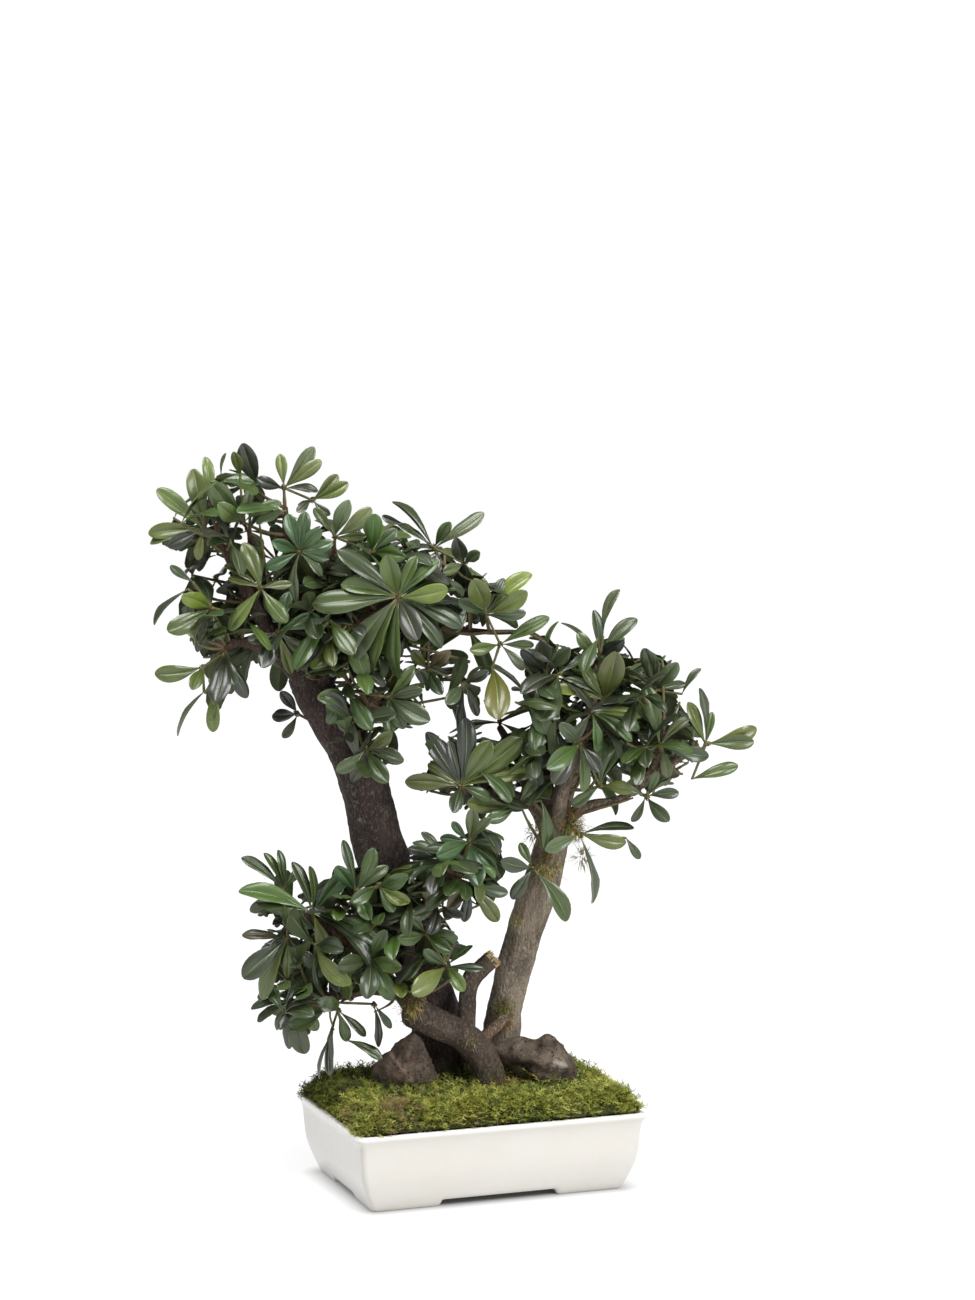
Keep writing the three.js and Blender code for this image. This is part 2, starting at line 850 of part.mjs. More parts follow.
// A rectangle with round corners, level at a height, anticlockwise from above
function roundedRing(halfLength, halfDepth, height) {
  const ring = [];
  for (let corner = 0; corner < 4; corner++) {
    const side = corner === 0 || corner === 3 ? 1 : -1;
    const back = corner < 2 ? 1 : -1;
    for (let i = 0; i <= CORNER_STEPS; i++) {
      const turn = (corner + i / CORNER_STEPS) * (Math.PI / 2);
      ring.push(
        new THREE.Vector3(
          side * (halfLength - POT_CORNER) + POT_CORNER * Math.cos(turn),
          back * (halfDepth - POT_CORNER) + POT_CORNER * Math.sin(turn),
          height,
        ),
      );
    }
  }
  return ring;
}

const potRing = (height, inset) => roundedRing(POT_LENGTH / 2 - inset, POT_DEPTH / 2 - inset, height);

// How far the inside of the wall stands in from the rim's outline at a height
function insideInset(height) {
  const above = POT_INSIDE.findIndex(([level]) => level >= height);
  const [low, wide] = POT_INSIDE[above - 1];
  const [high, narrow] = POT_INSIDE[above];
  return THREE.MathUtils.mapLinear(height, low, high, wide, narrow);
}

function drainHole(side) {
  const hole = new THREE.CylinderGeometry(DRAIN_RADIUS, DRAIN_RADIUS, POT_FLOOR * 3, DRAIN_SIDES);
  return hole.rotateX(Math.PI / 2).translate((side * DRAIN_SPACING) / 2, 0, 0);
}

const potOutside = () => loft(POT_OUTSIDE.map(([height, inset]) => potRing(height, inset)));

function pot() {
  const [rim, lip] = POT_INSIDE[POT_INSIDE.length - 1];
  const overTheRim = [rim + 1, lip - 0.5];
  const hollow = loft([...POT_INSIDE, overTheRim].map(([height, inset]) => potRing(height, inset)));
  const footSpace = new THREE.BoxGeometry(POT_LENGTH * 2, POT_DEPTH * 2, POT_UNDERSIDE * 2);
  const cuts = [hollow, footSpace, drainHole(-1), drainHole(1)];
  return geometryOf(cutBy(solidOf(potOutside()), cuts.map(solidOf)));
}

// A corner foot carries the pot's outside down to the surface that it stands on. It is fired in one
// with the pot, whose flat underside it meets face to face. Wide gaps part the feet on every side.
function foot([end, side]) {
  const corner = new THREE.BoxGeometry(POT_LENGTH, POT_DEPTH, POT_UNDERSIDE * 2);
  corner.translate((end * (LONG_GAP + POT_LENGTH)) / 2, (side * (SHORT_GAP + POT_DEPTH)) / 2, 0);
  const inset = POT_OUTSIDE[0][1] + FOOT_WIDTH;
  const recess = loft([potRing(-1, inset), potRing(POT_UNDERSIDE + 1, inset)]);
  return geometryOf(solidOf(potOutside()).intersect(solidOf(corner)).subtract(solidOf(recess)));
}

// Plastic nets that keep the soil out of the drain holes

function screenPlate(side, grow) {
  const width = SCREEN_SIDE + grow * 2;
  const plate = new THREE.BoxGeometry(width, width, SCREEN_THICKNESS + grow);
  const height = POT_FLOOR + CLEARANCE + (SCREEN_THICKNESS + grow) / 2;
  return plate.translate((side * DRAIN_SPACING) / 2, 0, height);
}

function screen(side) {
  const pitch = SCREEN_SIDE / (SCREEN_HOLES + 1);
  const holes = [];
  for (let column = 0; column < SCREEN_HOLES; column++) {
    for (let row = 0; row < SCREEN_HOLES; row++) {
      const hole = new THREE.BoxGeometry(SCREEN_HOLE, SCREEN_HOLE, POT_FLOOR * 3);
      const offset = (SCREEN_HOLES - 1) / 2;
      hole.translate((side * DRAIN_SPACING) / 2 + (column - offset) * pitch, (row - offset) * pitch, 0);
      holes.push(solidOf(hole));
    }
  }
  return geometryOf(cutBy(solidOf(screenPlate(side, 0)), holes));
}

// Soil and moss

// The top of the moss, a broad dome with soft lumps
function mossTop(x, y) {
  const along = Math.abs(x / (POT_LENGTH / 2 - MOSS_MARGIN)) ** MOSS_POWER;
  const across = Math.abs(y / (POT_DEPTH / 2 - MOSS_MARGIN)) ** MOSS_POWER;
  const dome = Math.max(0, 1 - along) * Math.max(0, 1 - across);
  const lumps = Math.sin(x / MOSS_LUMP_LENGTH + 1) * Math.cos(y / MOSS_LUMP_WIDTH);
  return MOSS_SHOULDER + dome * (MOSS_RISE + MOSS_LUMP * lumps);
}

// One ring of the mound: the wall's outline at a height, shrunk towards the middle. It lies below
// the top of the moss by the given depth, apart from the outermost, which is level.
function moundRing(share, wallHeight, edge, depth) {
  return potRing(0, insideInset(wallHeight) + CLEARANCE).map(({ x, y }) => {
    const height = share === 1 ? edge : mossTop(x * share, y * share) - depth;
    return new THREE.Vector3(x * share, y * share, height);
  });
}

function moss(grow) {
  const lowEdge = SOIL_EDGE + CLEARANCE - grow;
  const under = MOUND_RINGS.map((share) => moundRing(share, SOIL_EDGE, lowEdge, MOSS_DEPTH + grow));
  const over = MOUND_RINGS.map((share) => moundRing(share, MOSS_EDGE, MOSS_EDGE, 0));
  return loft([...under.reverse(), ...over]);
}

// The soil fills the pot up to the moss, whose underside trims its top
function soil() {
  const levels = POT_INSIDE.map(([height]) => height).filter((height) => height < SOIL_EDGE);
  levels[0] += CLEARANCE;
  const wall = [...levels, SOIL_EDGE].map((height) => potRing(height, insideInset(height) + SOIL_GAP));
  const top = MOUND_RINGS.slice(1).map((share) => moundRing(share, SOIL_EDGE, SOIL_EDGE, MOSS_DEPTH / 2));
  return loft([...wall, ...top]);
}

// Stems

// A taper with one ring of sides at each station, made fatter by grow
function stem(stations, sides, grow = 0) {
  const places = stations.map(([across, down, near]) => seen(across, down, near));
  const curve = new THREE.CatmullRomCurve3(places, false, "centripetal");
  let side = VIEW_NEAR.clone();
  const rings = stations.map(([, , , radius], i) => {
    const along = curve.getTangent(i / (stations.length - 1));
    side = side.clone().addScaledVector(along, -side.dot(along)).normalize();
    const other = new THREE.Vector3().crossVectors(along, side);
    const last = i === stations.length - 1 || i === 0;
    const middle = places[i].clone().addScaledVector(along, last ? Math.sign(i - 0.5) * grow : 0);
    return Array.from({ length: sides }, (_, s) => {
      const turn = (s / sides) * Math.PI * 2;
      return middle
        .clone()
        .addScaledVector(side, Math.cos(turn) * (radius + grow))
        .addScaledVector(other, Math.sin(turn) * (radius + grow));
    });
  });
  return loft(rings);
}

function tree(name, grow) {
  const limbs = Object.values(LIMBS).filter((limb) => limb.tree === name);
  const stems = [
    stem(TRUNKS[name].stations, TRUNK_SIDES, grow),
    ...limbs.map(({ stations }) => stem(stations, LIMB_SIDES, grow)),
    ...(name === "trunk_low" ? [stem(STUB, STUB_SIDES, grow)] : []),
  ];
  return joined(stems.map(solidOf));
}

// Rocks

function lump({ at, half, facets }, grow) {
  // Right, near and up turn the other way from x, y and z, so the ball's y points away
  const ball = new THREE.IcosahedronGeometry(1, ROCK_DETAIL);
  const middle = seen(...at);
  const points = ball.getAttribute("position");
  const planes = facets.map(([right, near, up, share]) => ({
    facing: new THREE.Vector3(right, near, up).normalize(),
    share,
  }));
  for (let i = 0; i < points.count; i++) {
    const way = new THREE.Vector3().fromBufferAttribute(points, i).normalize();
    way.y = -way.y;
    const cuts = planes.map(({ facing, share }) => share / Math.max(way.dot(facing), 1e-6));
    const reach = Math.min(1, ...cuts);
    const place = middle
      .clone()
      .addScaledVector(VIEW_RIGHT, way.x * (half[0] * reach + grow))
      .addScaledVector(VIEW_NEAR, way.y * (half[1] * reach + grow))
      .addScaledVector(UP, way.z * (half[2] * reach + grow));
    points.setXYZ(i, place.x, place.y, place.z);
  }
  return solidOf(ball);
}

const rock = (name, grow) => joined(ROCKS[name].map((part) => lump(part, grow)));

// Leaves

// A thin blade from its stalk to its tip, arched along its length, with its upper face towards face
function leafFaces({ stalk, tip, face, width }, thickness) {
  const along = tip.clone().sub(stalk);
  const length = along.length();
  along.normalize();
  const upward = face.clone().addScaledVector(along, -face.dot(along)).normalize();
  const sideways = new THREE.Vector3().crossVectors(upward, along);
  const point = (share, half, lift) =>
    stalk
      .clone()
      .addScaledVector(along, share * length)
      .addScaledVector(sideways, (half * width) / 2)
      .addScaledVector(upward, lift + LEAF_ARCH * length * 4 * share * (1 - share));
  const rim = LEAF_OUTLINE.map(([share, half]) => point(share, half, 0));
  const keel = point(LEAF_OUTLINE[1][0], 0, -thickness);
  const [root, left, tipLeft, tipRight, right] = rim;
  const under = rim.map((corner, i) => [keel, corner, rim[(i + 1) % rim.length]]);
  return [[root, right, left], [left, right, tipRight], [left, tipRight, tipLeft], ...under];
}

function leafSolid(leaf) {
  const corners = leafFaces(leaf, LEAF_THICKNESS).flat();
  return solidOf(new THREE.BufferGeometry().setFromPoints(corners));
}

// A repeatable number from 0 to 1 for each seed
function chance(seed) {
  const wide = Math.sin(seed * 12.9898) * 43758.5453;
  return wide - Math.floor(wide);
}

// A leaf that shows, turned and leant so that it looks as long and as wide as it was read
function shownLeaf(whorl, [across, down, wide, fromAcross, fromDown], lean) {
  const [middleAcross, middleDown, near] = whorl.at;
  const stalk = seen(fromAcross ?? middleAcross, fromDown ?? middleDown, near);
  const seenLength = seen(across, down, near).distanceTo(stalk);
  const wideEnough = (wide * PIXEL) / LEAF_SLENDERNESS;
  const length = Math.min(Math.max(seenLength, wideEnough), Math.max(LEAF_LONGEST, seenLength));
  const depth = Math.sqrt(Math.max(0, length ** 2 - seenLength ** 2)) + lean;
  const tip = seen(across, down, near + depth);
  const along = tip.clone().sub(stalk).normalize();
  const width = Math.max(wide * PIXEL, LEAF_NARROWEST * tip.distanceTo(stalk));
  const roll = Math.acos(Math.min(1, (wide * PIXEL) / width));
  const front = VIEW_NEAR.clone().addScaledVector(along, -VIEW_NEAR.dot(along)).normalize();
  const lit = Math.sign(new THREE.Vector3().crossVectors(along, front).z) || 1;
  stalk.addScaledVector(along, fromAcross === undefined ? STALK_START : SPUR_START);
  return { stalk, tip, width, face: front.applyAxisAngle(along, roll * lit) };
}

// A leaf of a whorl on the far side, which opens round the way that its twig points
function hiddenLeaf(whorl, outward, index, lean) {
  const stalk = seen(...whorl.at);
  const seed = whorl.at[0] + whorl.at[1];
  const turn = index * GOLDEN_TURN + seed;
  const side = new THREE.Vector3().crossVectors(outward, UP).normalize();
  const over = new THREE.Vector3().crossVectors(side, outward);
  const way = new THREE.Vector3()
    .addScaledVector(side, Math.cos(turn))
    .addScaledVector(over, Math.sin(turn))
    .addScaledVector(outward, HIDDEN_BACK + HIDDEN_OUT * chance(seed + index))
    .addScaledVector(UP, lean / HIDDEN_SHORTEST)
    .normalize();
  const length = HIDDEN_SHORTEST + HIDDEN_SPREAD * chance(seed * 3 + index);
  const tip = stalk.clone().addScaledVector(way, length);
  stalk.addScaledVector(way, STALK_START);
  return { stalk, tip, width: length * LEAF_SLENDERNESS, face: outward.clone().add(UP) };
}

// Room between leaves
// Each leaf is tried with its tip nearer or farther until it passes through no other spray or wood.

const crossingPoint = new THREE.Vector3();
const edgeRay = new THREE.Ray();

function triangle(a, b, c) {
  return { corners: [a, b, c], box: new THREE.Box3().setFromPoints([a, b, c]) };
}

function bodyOf(triangles) {
  const box = new THREE.Box3();
  triangles.forEach((one) => box.union(one.box));
  return { triangles, box };
}

function bodyOfGeometry(geometry) {
  const flat = geometry.index ? geometry.toNonIndexed() : geometry;
  const points = flat.getAttribute("position");
  const at = (i) => new THREE.Vector3().fromBufferAttribute(points, i);
  const firsts = Array.from({ length: points.count / 3 }, (_, i) => i * 3);
  return bodyOf(firsts.map((i) => triangle(at(i), at(i + 1), at(i + 2))));
}

function edgesPass(one, other) {
  return one.corners.some((start, i) => {
    const end = one.corners[(i + 1) % 3];
    edgeRay.origin.copy(start);
    edgeRay.direction.subVectors(end, start).normalize();
    const hit = edgeRay.intersectTriangle(...other.corners, false, crossingPoint);
    return hit !== null && hit.distanceTo(start) <= start.distanceTo(end);
  });
}

function bodiesCross(first, second) {
  if (!first.box.intersectsBox(second.box)) return false;
  return first.triangles.some(
    (one) =>
      one.box.intersectsBox(second.box) &&
      second.triangles.some(
        (other) => one.box.intersectsBox(other.box) && (edgesPass(one, other) || edgesPass(other, one)),
      ),
  );
}

// Sprays

const limbStations = (name) => (LIMBS[name] ?? TRUNKS[name]).stations;

// The place on a limb that a twig for this whorl springs from: as near as can be, a little below it
function seatOn(name, whorl) {
  const stations = limbStations(name);
  const goal = seen(...whorl.at);
  let best = { cost: Infinity };
  for (let i = 0; i + 1 < stations.length; i++) {
    for (let share = 0; share <= 1; share += SEAT_STEP) {
      const place = stations[i].map((value, k) => value + (stations[i + 1][k] - value) * share);
      const point = seen(...place.slice(0, 3));
      const cost = point.distanceTo(goal) + Math.max(0, point.z - goal.z + SEAT_DROP) * SEAT_WEIGHT;
      if (cost < best.cost) best = { cost, place: place.slice(0, 3) };
    }
  }
  return best.place;
}

// The twig goes from the limb to each whorl in turn, and a leaf that springs from elsewhere has a spur
function twigStations(spray) {
  const seat = seatOn(spray.limb, spray.whorls[0]);
  const [first, ...others] = spray.whorls.map(({ at }) => at);
  const bend = seat.map((value, i) => value + (first[i] - value) * 0.5);
  bend[1] += TWIG_SAG;
  const main = [[...seat, TWIG_BASE], [...bend, (TWIG_BASE + TWIG_TIP) / 2], [...first, TWIG_TIP]];
  const onward = others.map((next) => [[...first, TWIG_TIP], [...next, TWIG_TIP]]);
  const spurs = spray.whorls.flatMap(({ at, leaves: shown = [] }) =>
    shown
      .filter((reading) => reading.length > 3)
      .map(([, , , across, down]) => [[...at, TWIG_TIP], [across, down, at[2], TWIG_TIP]]),
  );
  return [main, ...onward, ...spurs];
}

function bud(at, grow) {
  const ball = new THREE.OctahedronGeometry(BUD_RADIUS + grow);
  const { x, y, z } = seen(...at);
  return ball.translate(x, y, z);
}

const leafBody = (leaf) => bodyOf(leafFaces(leaf, FAT_LEAF).map((corners) => triangle(...corners)));

// All the leaves of the plant, kept clear of the wood and of the leaves grown before
function growLeaves(obstacles) {
  const twigs = Object.entries(SPRAYS).map(([name, spray]) => {
    const pieces = [
      ...twigStations(spray).map((run) => stem(run, TWIG_SIDES, TWIG_MARGIN)),
      ...spray.whorls.map(({ at }) => bud(at, TWIG_MARGIN)),
    ];
    return { name, body: bodyOf(pieces.flatMap((piece) => bodyOfGeometry(piece).triangles)) };
  });
  const grown = [];
  const isClear = (name, body) =>
    !obstacles.some((obstacle) => bodiesCross(body, obstacle)) &&
    !twigs.some((twig) => twig.name !== name && bodiesCross(body, twig.body)) &&
    !grown.some((other) => other.name !== name && bodiesCross(body, other.body));
  const isRoomy = (name, blade) => !grown.some((other) => other.name === name && bodiesCross(blade, other.blade));
  const place = (name, shapeAt) => {
    const tries = LEANS.map(shapeAt).map((leaf) => {
      const outer = { ...leaf, stalk: leaf.stalk.clone().lerp(leaf.tip, CROWDED_SHARE) };
      return { name, leaf, body: leafBody(leaf), blade: leafBody(outer) };
    });
    const clear = tries.filter(({ body }) => isClear(name, body));
    const chosen = clear.find(({ blade }) => isRoomy(name, blade)) ?? clear[0];
    if (chosen) grown.push(chosen);
  };
  const whorls = Object.entries(SPRAYS).flatMap(([name, { limb, whorls: all }]) =>
    all.map((whorl) => ({ name, limb, whorl })),
  );
  for (const { name, whorl } of whorls) {
    for (const reading of whorl.leaves ?? []) {
      place(name, (lean) => shownLeaf(whorl, reading, lean));
    }
  }
  for (const { name, limb, whorl } of whorls) {
    const outward = seen(...whorl.at).sub(seen(...seatOn(limb, whorl))).normalize();
    for (let index = 0; index < (whorl.round ?? 0); index++) {
      place(name, (lean) => hiddenLeaf(whorl, outward, index, lean));
    }
  }
  return grown;
}

function spraySolid(name, leaves, wood) {
  const spray = SPRAYS[name];
  const stems = twigStations(spray).map((run) => solidOf(stem(run, TWIG_SIDES)));
  const buds = spray.whorls.map(({ at }) => solidOf(bud(at, 0)));
  const blades = leaves.filter((leaf) => leaf.name === name).map(({ leaf }) => leafSolid(leaf));
  return geometryOf(cutBy(joined([...stems, ...buds, ...blades]), [wood]));
}

// Assembly

const bonsai = new THREE.Group();

function add(name, geometry, look) {
  const mesh = new THREE.Mesh(geometry, new THREE.MeshStandardMaterial(LOOKS[look]));
  mesh.name = name;
  bonsai.add(mesh);
  return mesh;
}

const grownTrees = Object.keys(TRUNKS).map((name) => tree(name, CLEARANCE));
const grownRocks = Object.keys(ROCKS).map((name) => rock(name, CLEARANCE));
const planted = [...grownTrees, ...grownRocks];
const screenSeats = [-1, 1].map((side) => solidOf(screenPlate(side, CLEARANCE)));

add("pot", pot(), "pot");
for (const [name, place] of Object.entries(FEET)) {
  add(name, foot(place), "pot");
}
add("drain_screen_left", screen(-1), "screen");
add("drain_screen_right", screen(1), "screen");
const underMoss = [solidOf(moss(CLEARANCE)), ...planted, ...screenSeats];
add("soil", geometryOf(cutBy(solidOf(soil()), underMoss)), "soil");
add("moss", geometryOf(cutBy(solidOf(moss(0)), planted)), "moss");
for (const name of Object.keys(ROCKS)) {
  add(name, geometryOf(cutBy(rock(name, 0), grownTrees)), "rock");
}
for (const [name, { look }] of Object.entries(TRUNKS)) {
  add(name, geometryOf(tree(name, 0)), look);
}

const obstacles = bonsai.children.map((mesh) => bodyOfGeometry(mesh.geometry));
const leaves = growLeaves(obstacles);
const wood = joined(grownTrees);
for (const name of Object.keys(SPRAYS)) {
  add(name, spraySolid(name, leaves, wood), "leaf");
}

// The origin is under the middle of the whole plant, on the surface that the pot's feet stand on
const extent = new THREE.Box3().setFromObject(bonsai);
const middle = extent.getCenter(new THREE.Vector3());
bonsai.position.set(-middle.x, -middle.y, -extent.min.z);

export default bonsai;
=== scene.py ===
import math
import random

import bmesh
import bpy
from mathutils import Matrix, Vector, noise
from mathutils.bvhtree import BVHTree
from mathutils.kdtree import KDTree


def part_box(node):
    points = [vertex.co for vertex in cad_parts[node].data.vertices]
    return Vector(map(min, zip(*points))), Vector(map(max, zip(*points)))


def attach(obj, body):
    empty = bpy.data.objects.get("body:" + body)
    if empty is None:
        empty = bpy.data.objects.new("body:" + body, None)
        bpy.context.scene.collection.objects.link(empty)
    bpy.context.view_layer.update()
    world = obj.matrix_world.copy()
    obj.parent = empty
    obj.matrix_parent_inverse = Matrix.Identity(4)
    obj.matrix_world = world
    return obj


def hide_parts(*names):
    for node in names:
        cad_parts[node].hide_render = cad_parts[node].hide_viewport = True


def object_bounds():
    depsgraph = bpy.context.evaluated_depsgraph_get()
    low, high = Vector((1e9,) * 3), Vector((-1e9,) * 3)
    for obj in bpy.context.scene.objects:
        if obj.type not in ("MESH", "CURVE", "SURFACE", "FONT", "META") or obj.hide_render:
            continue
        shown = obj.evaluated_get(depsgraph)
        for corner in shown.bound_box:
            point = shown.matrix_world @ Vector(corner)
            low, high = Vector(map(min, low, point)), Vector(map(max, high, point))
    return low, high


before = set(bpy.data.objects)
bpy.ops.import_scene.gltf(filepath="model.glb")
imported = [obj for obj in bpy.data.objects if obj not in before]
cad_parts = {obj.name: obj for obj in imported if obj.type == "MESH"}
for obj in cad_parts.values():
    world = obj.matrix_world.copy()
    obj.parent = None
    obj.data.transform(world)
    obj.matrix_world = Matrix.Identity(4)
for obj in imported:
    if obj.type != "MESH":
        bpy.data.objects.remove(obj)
cad_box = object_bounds()

# Viewpoint
# The bonsai is seen from its front left, 3.5 m away and a little from above. A place on the plant is
# read as a pixel across and down in a picture 975 by 1300, and as millimetres towards the camera from
# the middle of the pot.

MM = 0.001
PICTURE = (975, 1300)
FOCAL_PIXELS = 3424
EYE_DISTANCE = 3500
EYE_HEIGHT = 938
EYE_SHIFT = 18.6
VIEW_TURN = math.radians(20)
VIEW_TILT = math.radians(6.22)

pot_low, pot_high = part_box("pot")
POT_MIDDLE = Vector(((pot_low.x + pot_high.x) / 2, (pot_low.y + pot_high.y) / 2, 0))
RIGHT = Vector((math.cos(VIEW_TURN), -math.sin(VIEW_TURN), 0))
NEAR = Vector((-math.sin(VIEW_TURN), -math.cos(VIEW_TURN), 0))
UP = Vector((0, 0, 1))
PIXEL = EYE_DISTANCE / FOCAL_PIXELS * MM


def seen(across, down, near):
    """The point at a pixel, the given millimetres nearer to the camera than the pot's middle."""
    right = (across - PICTURE[0] / 2) / FOCAL_PIXELS
    rise = (PICTURE[1] / 2 - down) / FOCAL_PIXELS
    reach = (EYE_DISTANCE - near) / (math.cos(VIEW_TILT) + rise * math.sin(VIEW_TILT))
    height = EYE_HEIGHT + reach * (rise * math.cos(VIEW_TILT) - math.sin(VIEW_TILT))
    return POT_MIDDLE + (RIGHT * (EYE_SHIFT + reach * right) + NEAR * near + UP * height) * MM


def pixel_of(place):
    """The pixel across and down at which a place shows."""
    offset = (place - POT_MIDDLE) / MM
    away, rise = EYE_DISTANCE - offset.dot(NEAR), offset.z - EYE_HEIGHT
    reach = away * math.cos(VIEW_TILT) - rise * math.sin(VIEW_TILT)
    height = rise * math.cos(VIEW_TILT) + away * math.sin(VIEW_TILT)
    across = PICTURE[0] / 2 + FOCAL_PIXELS * (offset.dot(RIGHT) - EYE_SHIFT) / reach
    return across, PICTURE[1] / 2 - FOCAL_PIXELS * height / reach


scene = bpy.context.scene
camera = bpy.data.objects.new("camera", bpy.data.cameras.new("camera"))
camera.data.sensor_width = 36
camera.data.lens = FOCAL_PIXELS / PICTURE[1] * camera.data.sensor_width
camera.location = POT_MIDDLE + (RIGHT * EYE_SHIFT + NEAR * EYE_DISTANCE + UP * EYE_HEIGHT) * MM
camera.rotation_euler = (math.pi / 2 - VIEW_TILT, 0, -VIEW_TURN)
scene.collection.objects.link(camera)
scene.camera = camera

# Studio
# A white floor and a white backdrop in a room that is dim behind the eye and overhead, lit by a wide soft
# lamp at the front right and another above.

# Brightness of the room from straight below to straight above, and its share behind the eye
ROOM_LIGHT = ((0, 0.3), (0.34, 1), (0.56, 1), (0.63, 0.28), (1, 0.3))
BEHIND_EYE = 0.55
# The floor's side in metres, and how far it lies below the pot in millimetres
FLOOR_SIDE = 14
FLOOR_DROP = 0.3
# Share of white that the floor gives off by how far it is from the pot's underside, in metres. This glow is
# painted light that washes out the floor's shadows, and it falls away under and right beside the pot as a
# painted contact shadow
FLOOR_GLOW = ((0.0, 0.02), (0.009, 0.34), (0.028, 0.8), (0.2, 0.86), (2.6, 0.95))
# Half sizes of the ground that the pot covers, in metres
COVERED = (0.128, 0.08, 0)
# Name, metres right, near and up from the pot, side in metres, and watts, and the height that they face
LAMPS = (("key_lamp", 1.5, 1.7, 1.7, 1.3, 62), ("top_lamp", -0.5, 0.7, 2.3, 1.2, 47))
LAMP_AIM = 0.35

scene.view_settings.view_transform = "Standard"
room = bpy.data.worlds.new("white_room")
room.use_nodes = True
room_nodes, room_links = room.node_tree.nodes, room.node_tree.links
direction = room_nodes.new("ShaderNodeTexCoord")
split = room_nodes.new("ShaderNodeSeparateXYZ")
upwards = room_nodes.new("ShaderNodeMapRange")
upwards.inputs["From Min"].default_value = -1
brightness = room_nodes.new("ShaderNodeValToRGB")
forwards = room_nodes.new("ShaderNodeVectorMath")
forwards.operation = "DOT_PRODUCT"
forwards.inputs[1].default_value = NEAR
dimming = room_nodes.new("ShaderNodeMapRange")
for name, value in (("From Min", 0.0), ("From Max", 0.8), ("To Min", 1.0), ("To Max", BEHIND_EYE)):
    dimming.inputs[name].default_value = value
for at, _ in ROOM_LIGHT[:-2]:
    brightness.color_ramp.elements.new(at)
for element, (at, level) in zip(brightness.color_ramp.elements, ROOM_LIGHT):
    element.position, element.color = at, (level, level, level, 1)
room_links.new(direction.outputs["Generated"], split.inputs[0])
room_links.new(split.outputs["Z"], upwards.inputs["Value"])
room_links.new(upwards.outputs["Result"], brightness.inputs["Fac"])
room_links.new(brightness.outputs["Color"], room_nodes["Background"].inputs["Color"])
room_links.new(direction.outputs["Generated"], forwards.inputs[0])
room_links.new(forwards.outputs["Value"], dimming.inputs["Value"])
room_links.new(dimming.outputs["Result"], room_nodes["Background"].inputs["Strength"])
scene.world = room
for name, right, near, up, side, watts in LAMPS:
    lamp = bpy.data.objects.new(name, bpy.data.lights.new(name, "AREA"))
    lamp.data.size = side
    lamp.data.energy = watts
    lamp.location = POT_MIDDLE + RIGHT * right + NEAR * near + UP * up
    aim = POT_MIDDLE + UP * LAMP_AIM - lamp.location
    lamp.rotation_euler = aim.to_track_quat("-Z", "Y").to_euler()
    scene.collection.objects.link(lamp)


class Wire:
    """A value in a material. Arithmetic on it adds Math nodes."""

    def __init__(self, finish, socket):
        self.finish, self.socket = finish, socket

    def maths(self, operation, *values, clamp=False):
        return self.finish.node("Math", {"operation": operation, "use_clamp": clamp}, dict(enumerate(values)))

    def __add__(self, other):
        return self.maths("ADD", self, other)

    def __sub__(self, other):
        return self.maths("SUBTRACT", self, other)

    def __rsub__(self, other):
        return self.maths("SUBTRACT", other, self)

    def __mul__(self, other):
        return self.maths("MULTIPLY", self, other)

    __radd__, __rmul__ = __add__, __mul__

    def __abs__(self):
        return self.maths("ABSOLUTE", self)

    def __pow__(self, power):
        return self.maths("POWER", self, power)

    def step(self, low, high):
        """0 below low, 1 above high, and smooth between them, or the other way where low is higher."""
        return self.finish.node(
            "MapRange", {"interpolation_type": "SMOOTHSTEP"}, {0: self, 1: low, 2: high, 3: 0, 4: 1}
        )


class Finish:
    """A material of one shader. Its node method adds every node that isn't arithmetic."""

    def __init__(self, name, **values):
        self.material = bpy.data.materials.new(name)
        self.material.use_nodes = True
        self.nodes = self.material.node_tree.nodes
        self.shader = self.nodes["Principled BSDF"]
        self.places = self.node("TexCoord", {}, {}, "Object")
        self.set(**values)

    def node(self, kind, settings, sockets, output=0):
        made = self.nodes.new("ShaderNode" + kind)
        for key, value in settings.items():
            if key == "stops":
                for at, colour in value[:-2]:
                    made.color_ramp.elements.new(at)
                for element, (at, colour) in zip(made.color_ramp.elements, value):
                    element.position, element.color = at, (*colour, 1)
            else:
                setattr(made, key, value)
        for key, value in sockets.items():
            self.join(made.inputs[key], value)
        return Wire(self, made.outputs[output])

    def join(self, socket, value):
        if isinstance(value, Wire):
            self.material.node_tree.links.new(value.socket, socket)
        elif socket.type == "RGBA":
            socket.default_value = (*value, 1)
        else:
            socket.default_value = value

    def set(self, **values):
        for name, value in values.items():
            self.join(self.shader.inputs[name.replace("_", " ").title().replace("Ior", "IOR")], value)
        return self

    def grain(self, scale, detail=3.0, roughness=0.55, places=None, warp=0.0):
        sockets = {"Vector": places or self.places, "Scale": scale, "Detail": detail}
        sockets |= {"Roughness": roughness, "Distortion": warp}
        return self.node("TexNoise", {}, sockets)

    def cells(self, scale, feature="F1", output="Distance", places=None):
        sockets = {"Vector": places or self.places, "Scale": scale}
        return self.node("TexVoronoi", {"feature": feature}, sockets, output)

    def stretched(self, x, y, z):
        return self.node("VectorMath", {"operation": "MULTIPLY"}, {0: self.places, 1: (x, y, z)})

    def blend(self, share, first, second):
        return self.node("Mix", {"data_type": "RGBA"}, {0: share, 6: first, 7: second}, 2)

    def ramp(self, value, *stops):
        return self.node("ValToRGB", {"stops": stops}, {0: value})

    def bump(self, height, depth, strength=1.0):
        return self.node("Bump", {}, {"Height": height, "Distance": depth, "Strength": strength})

    def read(self, name, output="Color"):
        return self.node("Attribute", {"attribute_name": name}, {}, output)


def parts_of(vector):
    """The x, y and z of a vector in a material."""
    split = vector.finish.nodes.new("ShaderNodeSeparateXYZ")
    vector.finish.join(split.inputs[0], vector)
    return [Wire(vector.finish, socket) for socket in split.outputs]


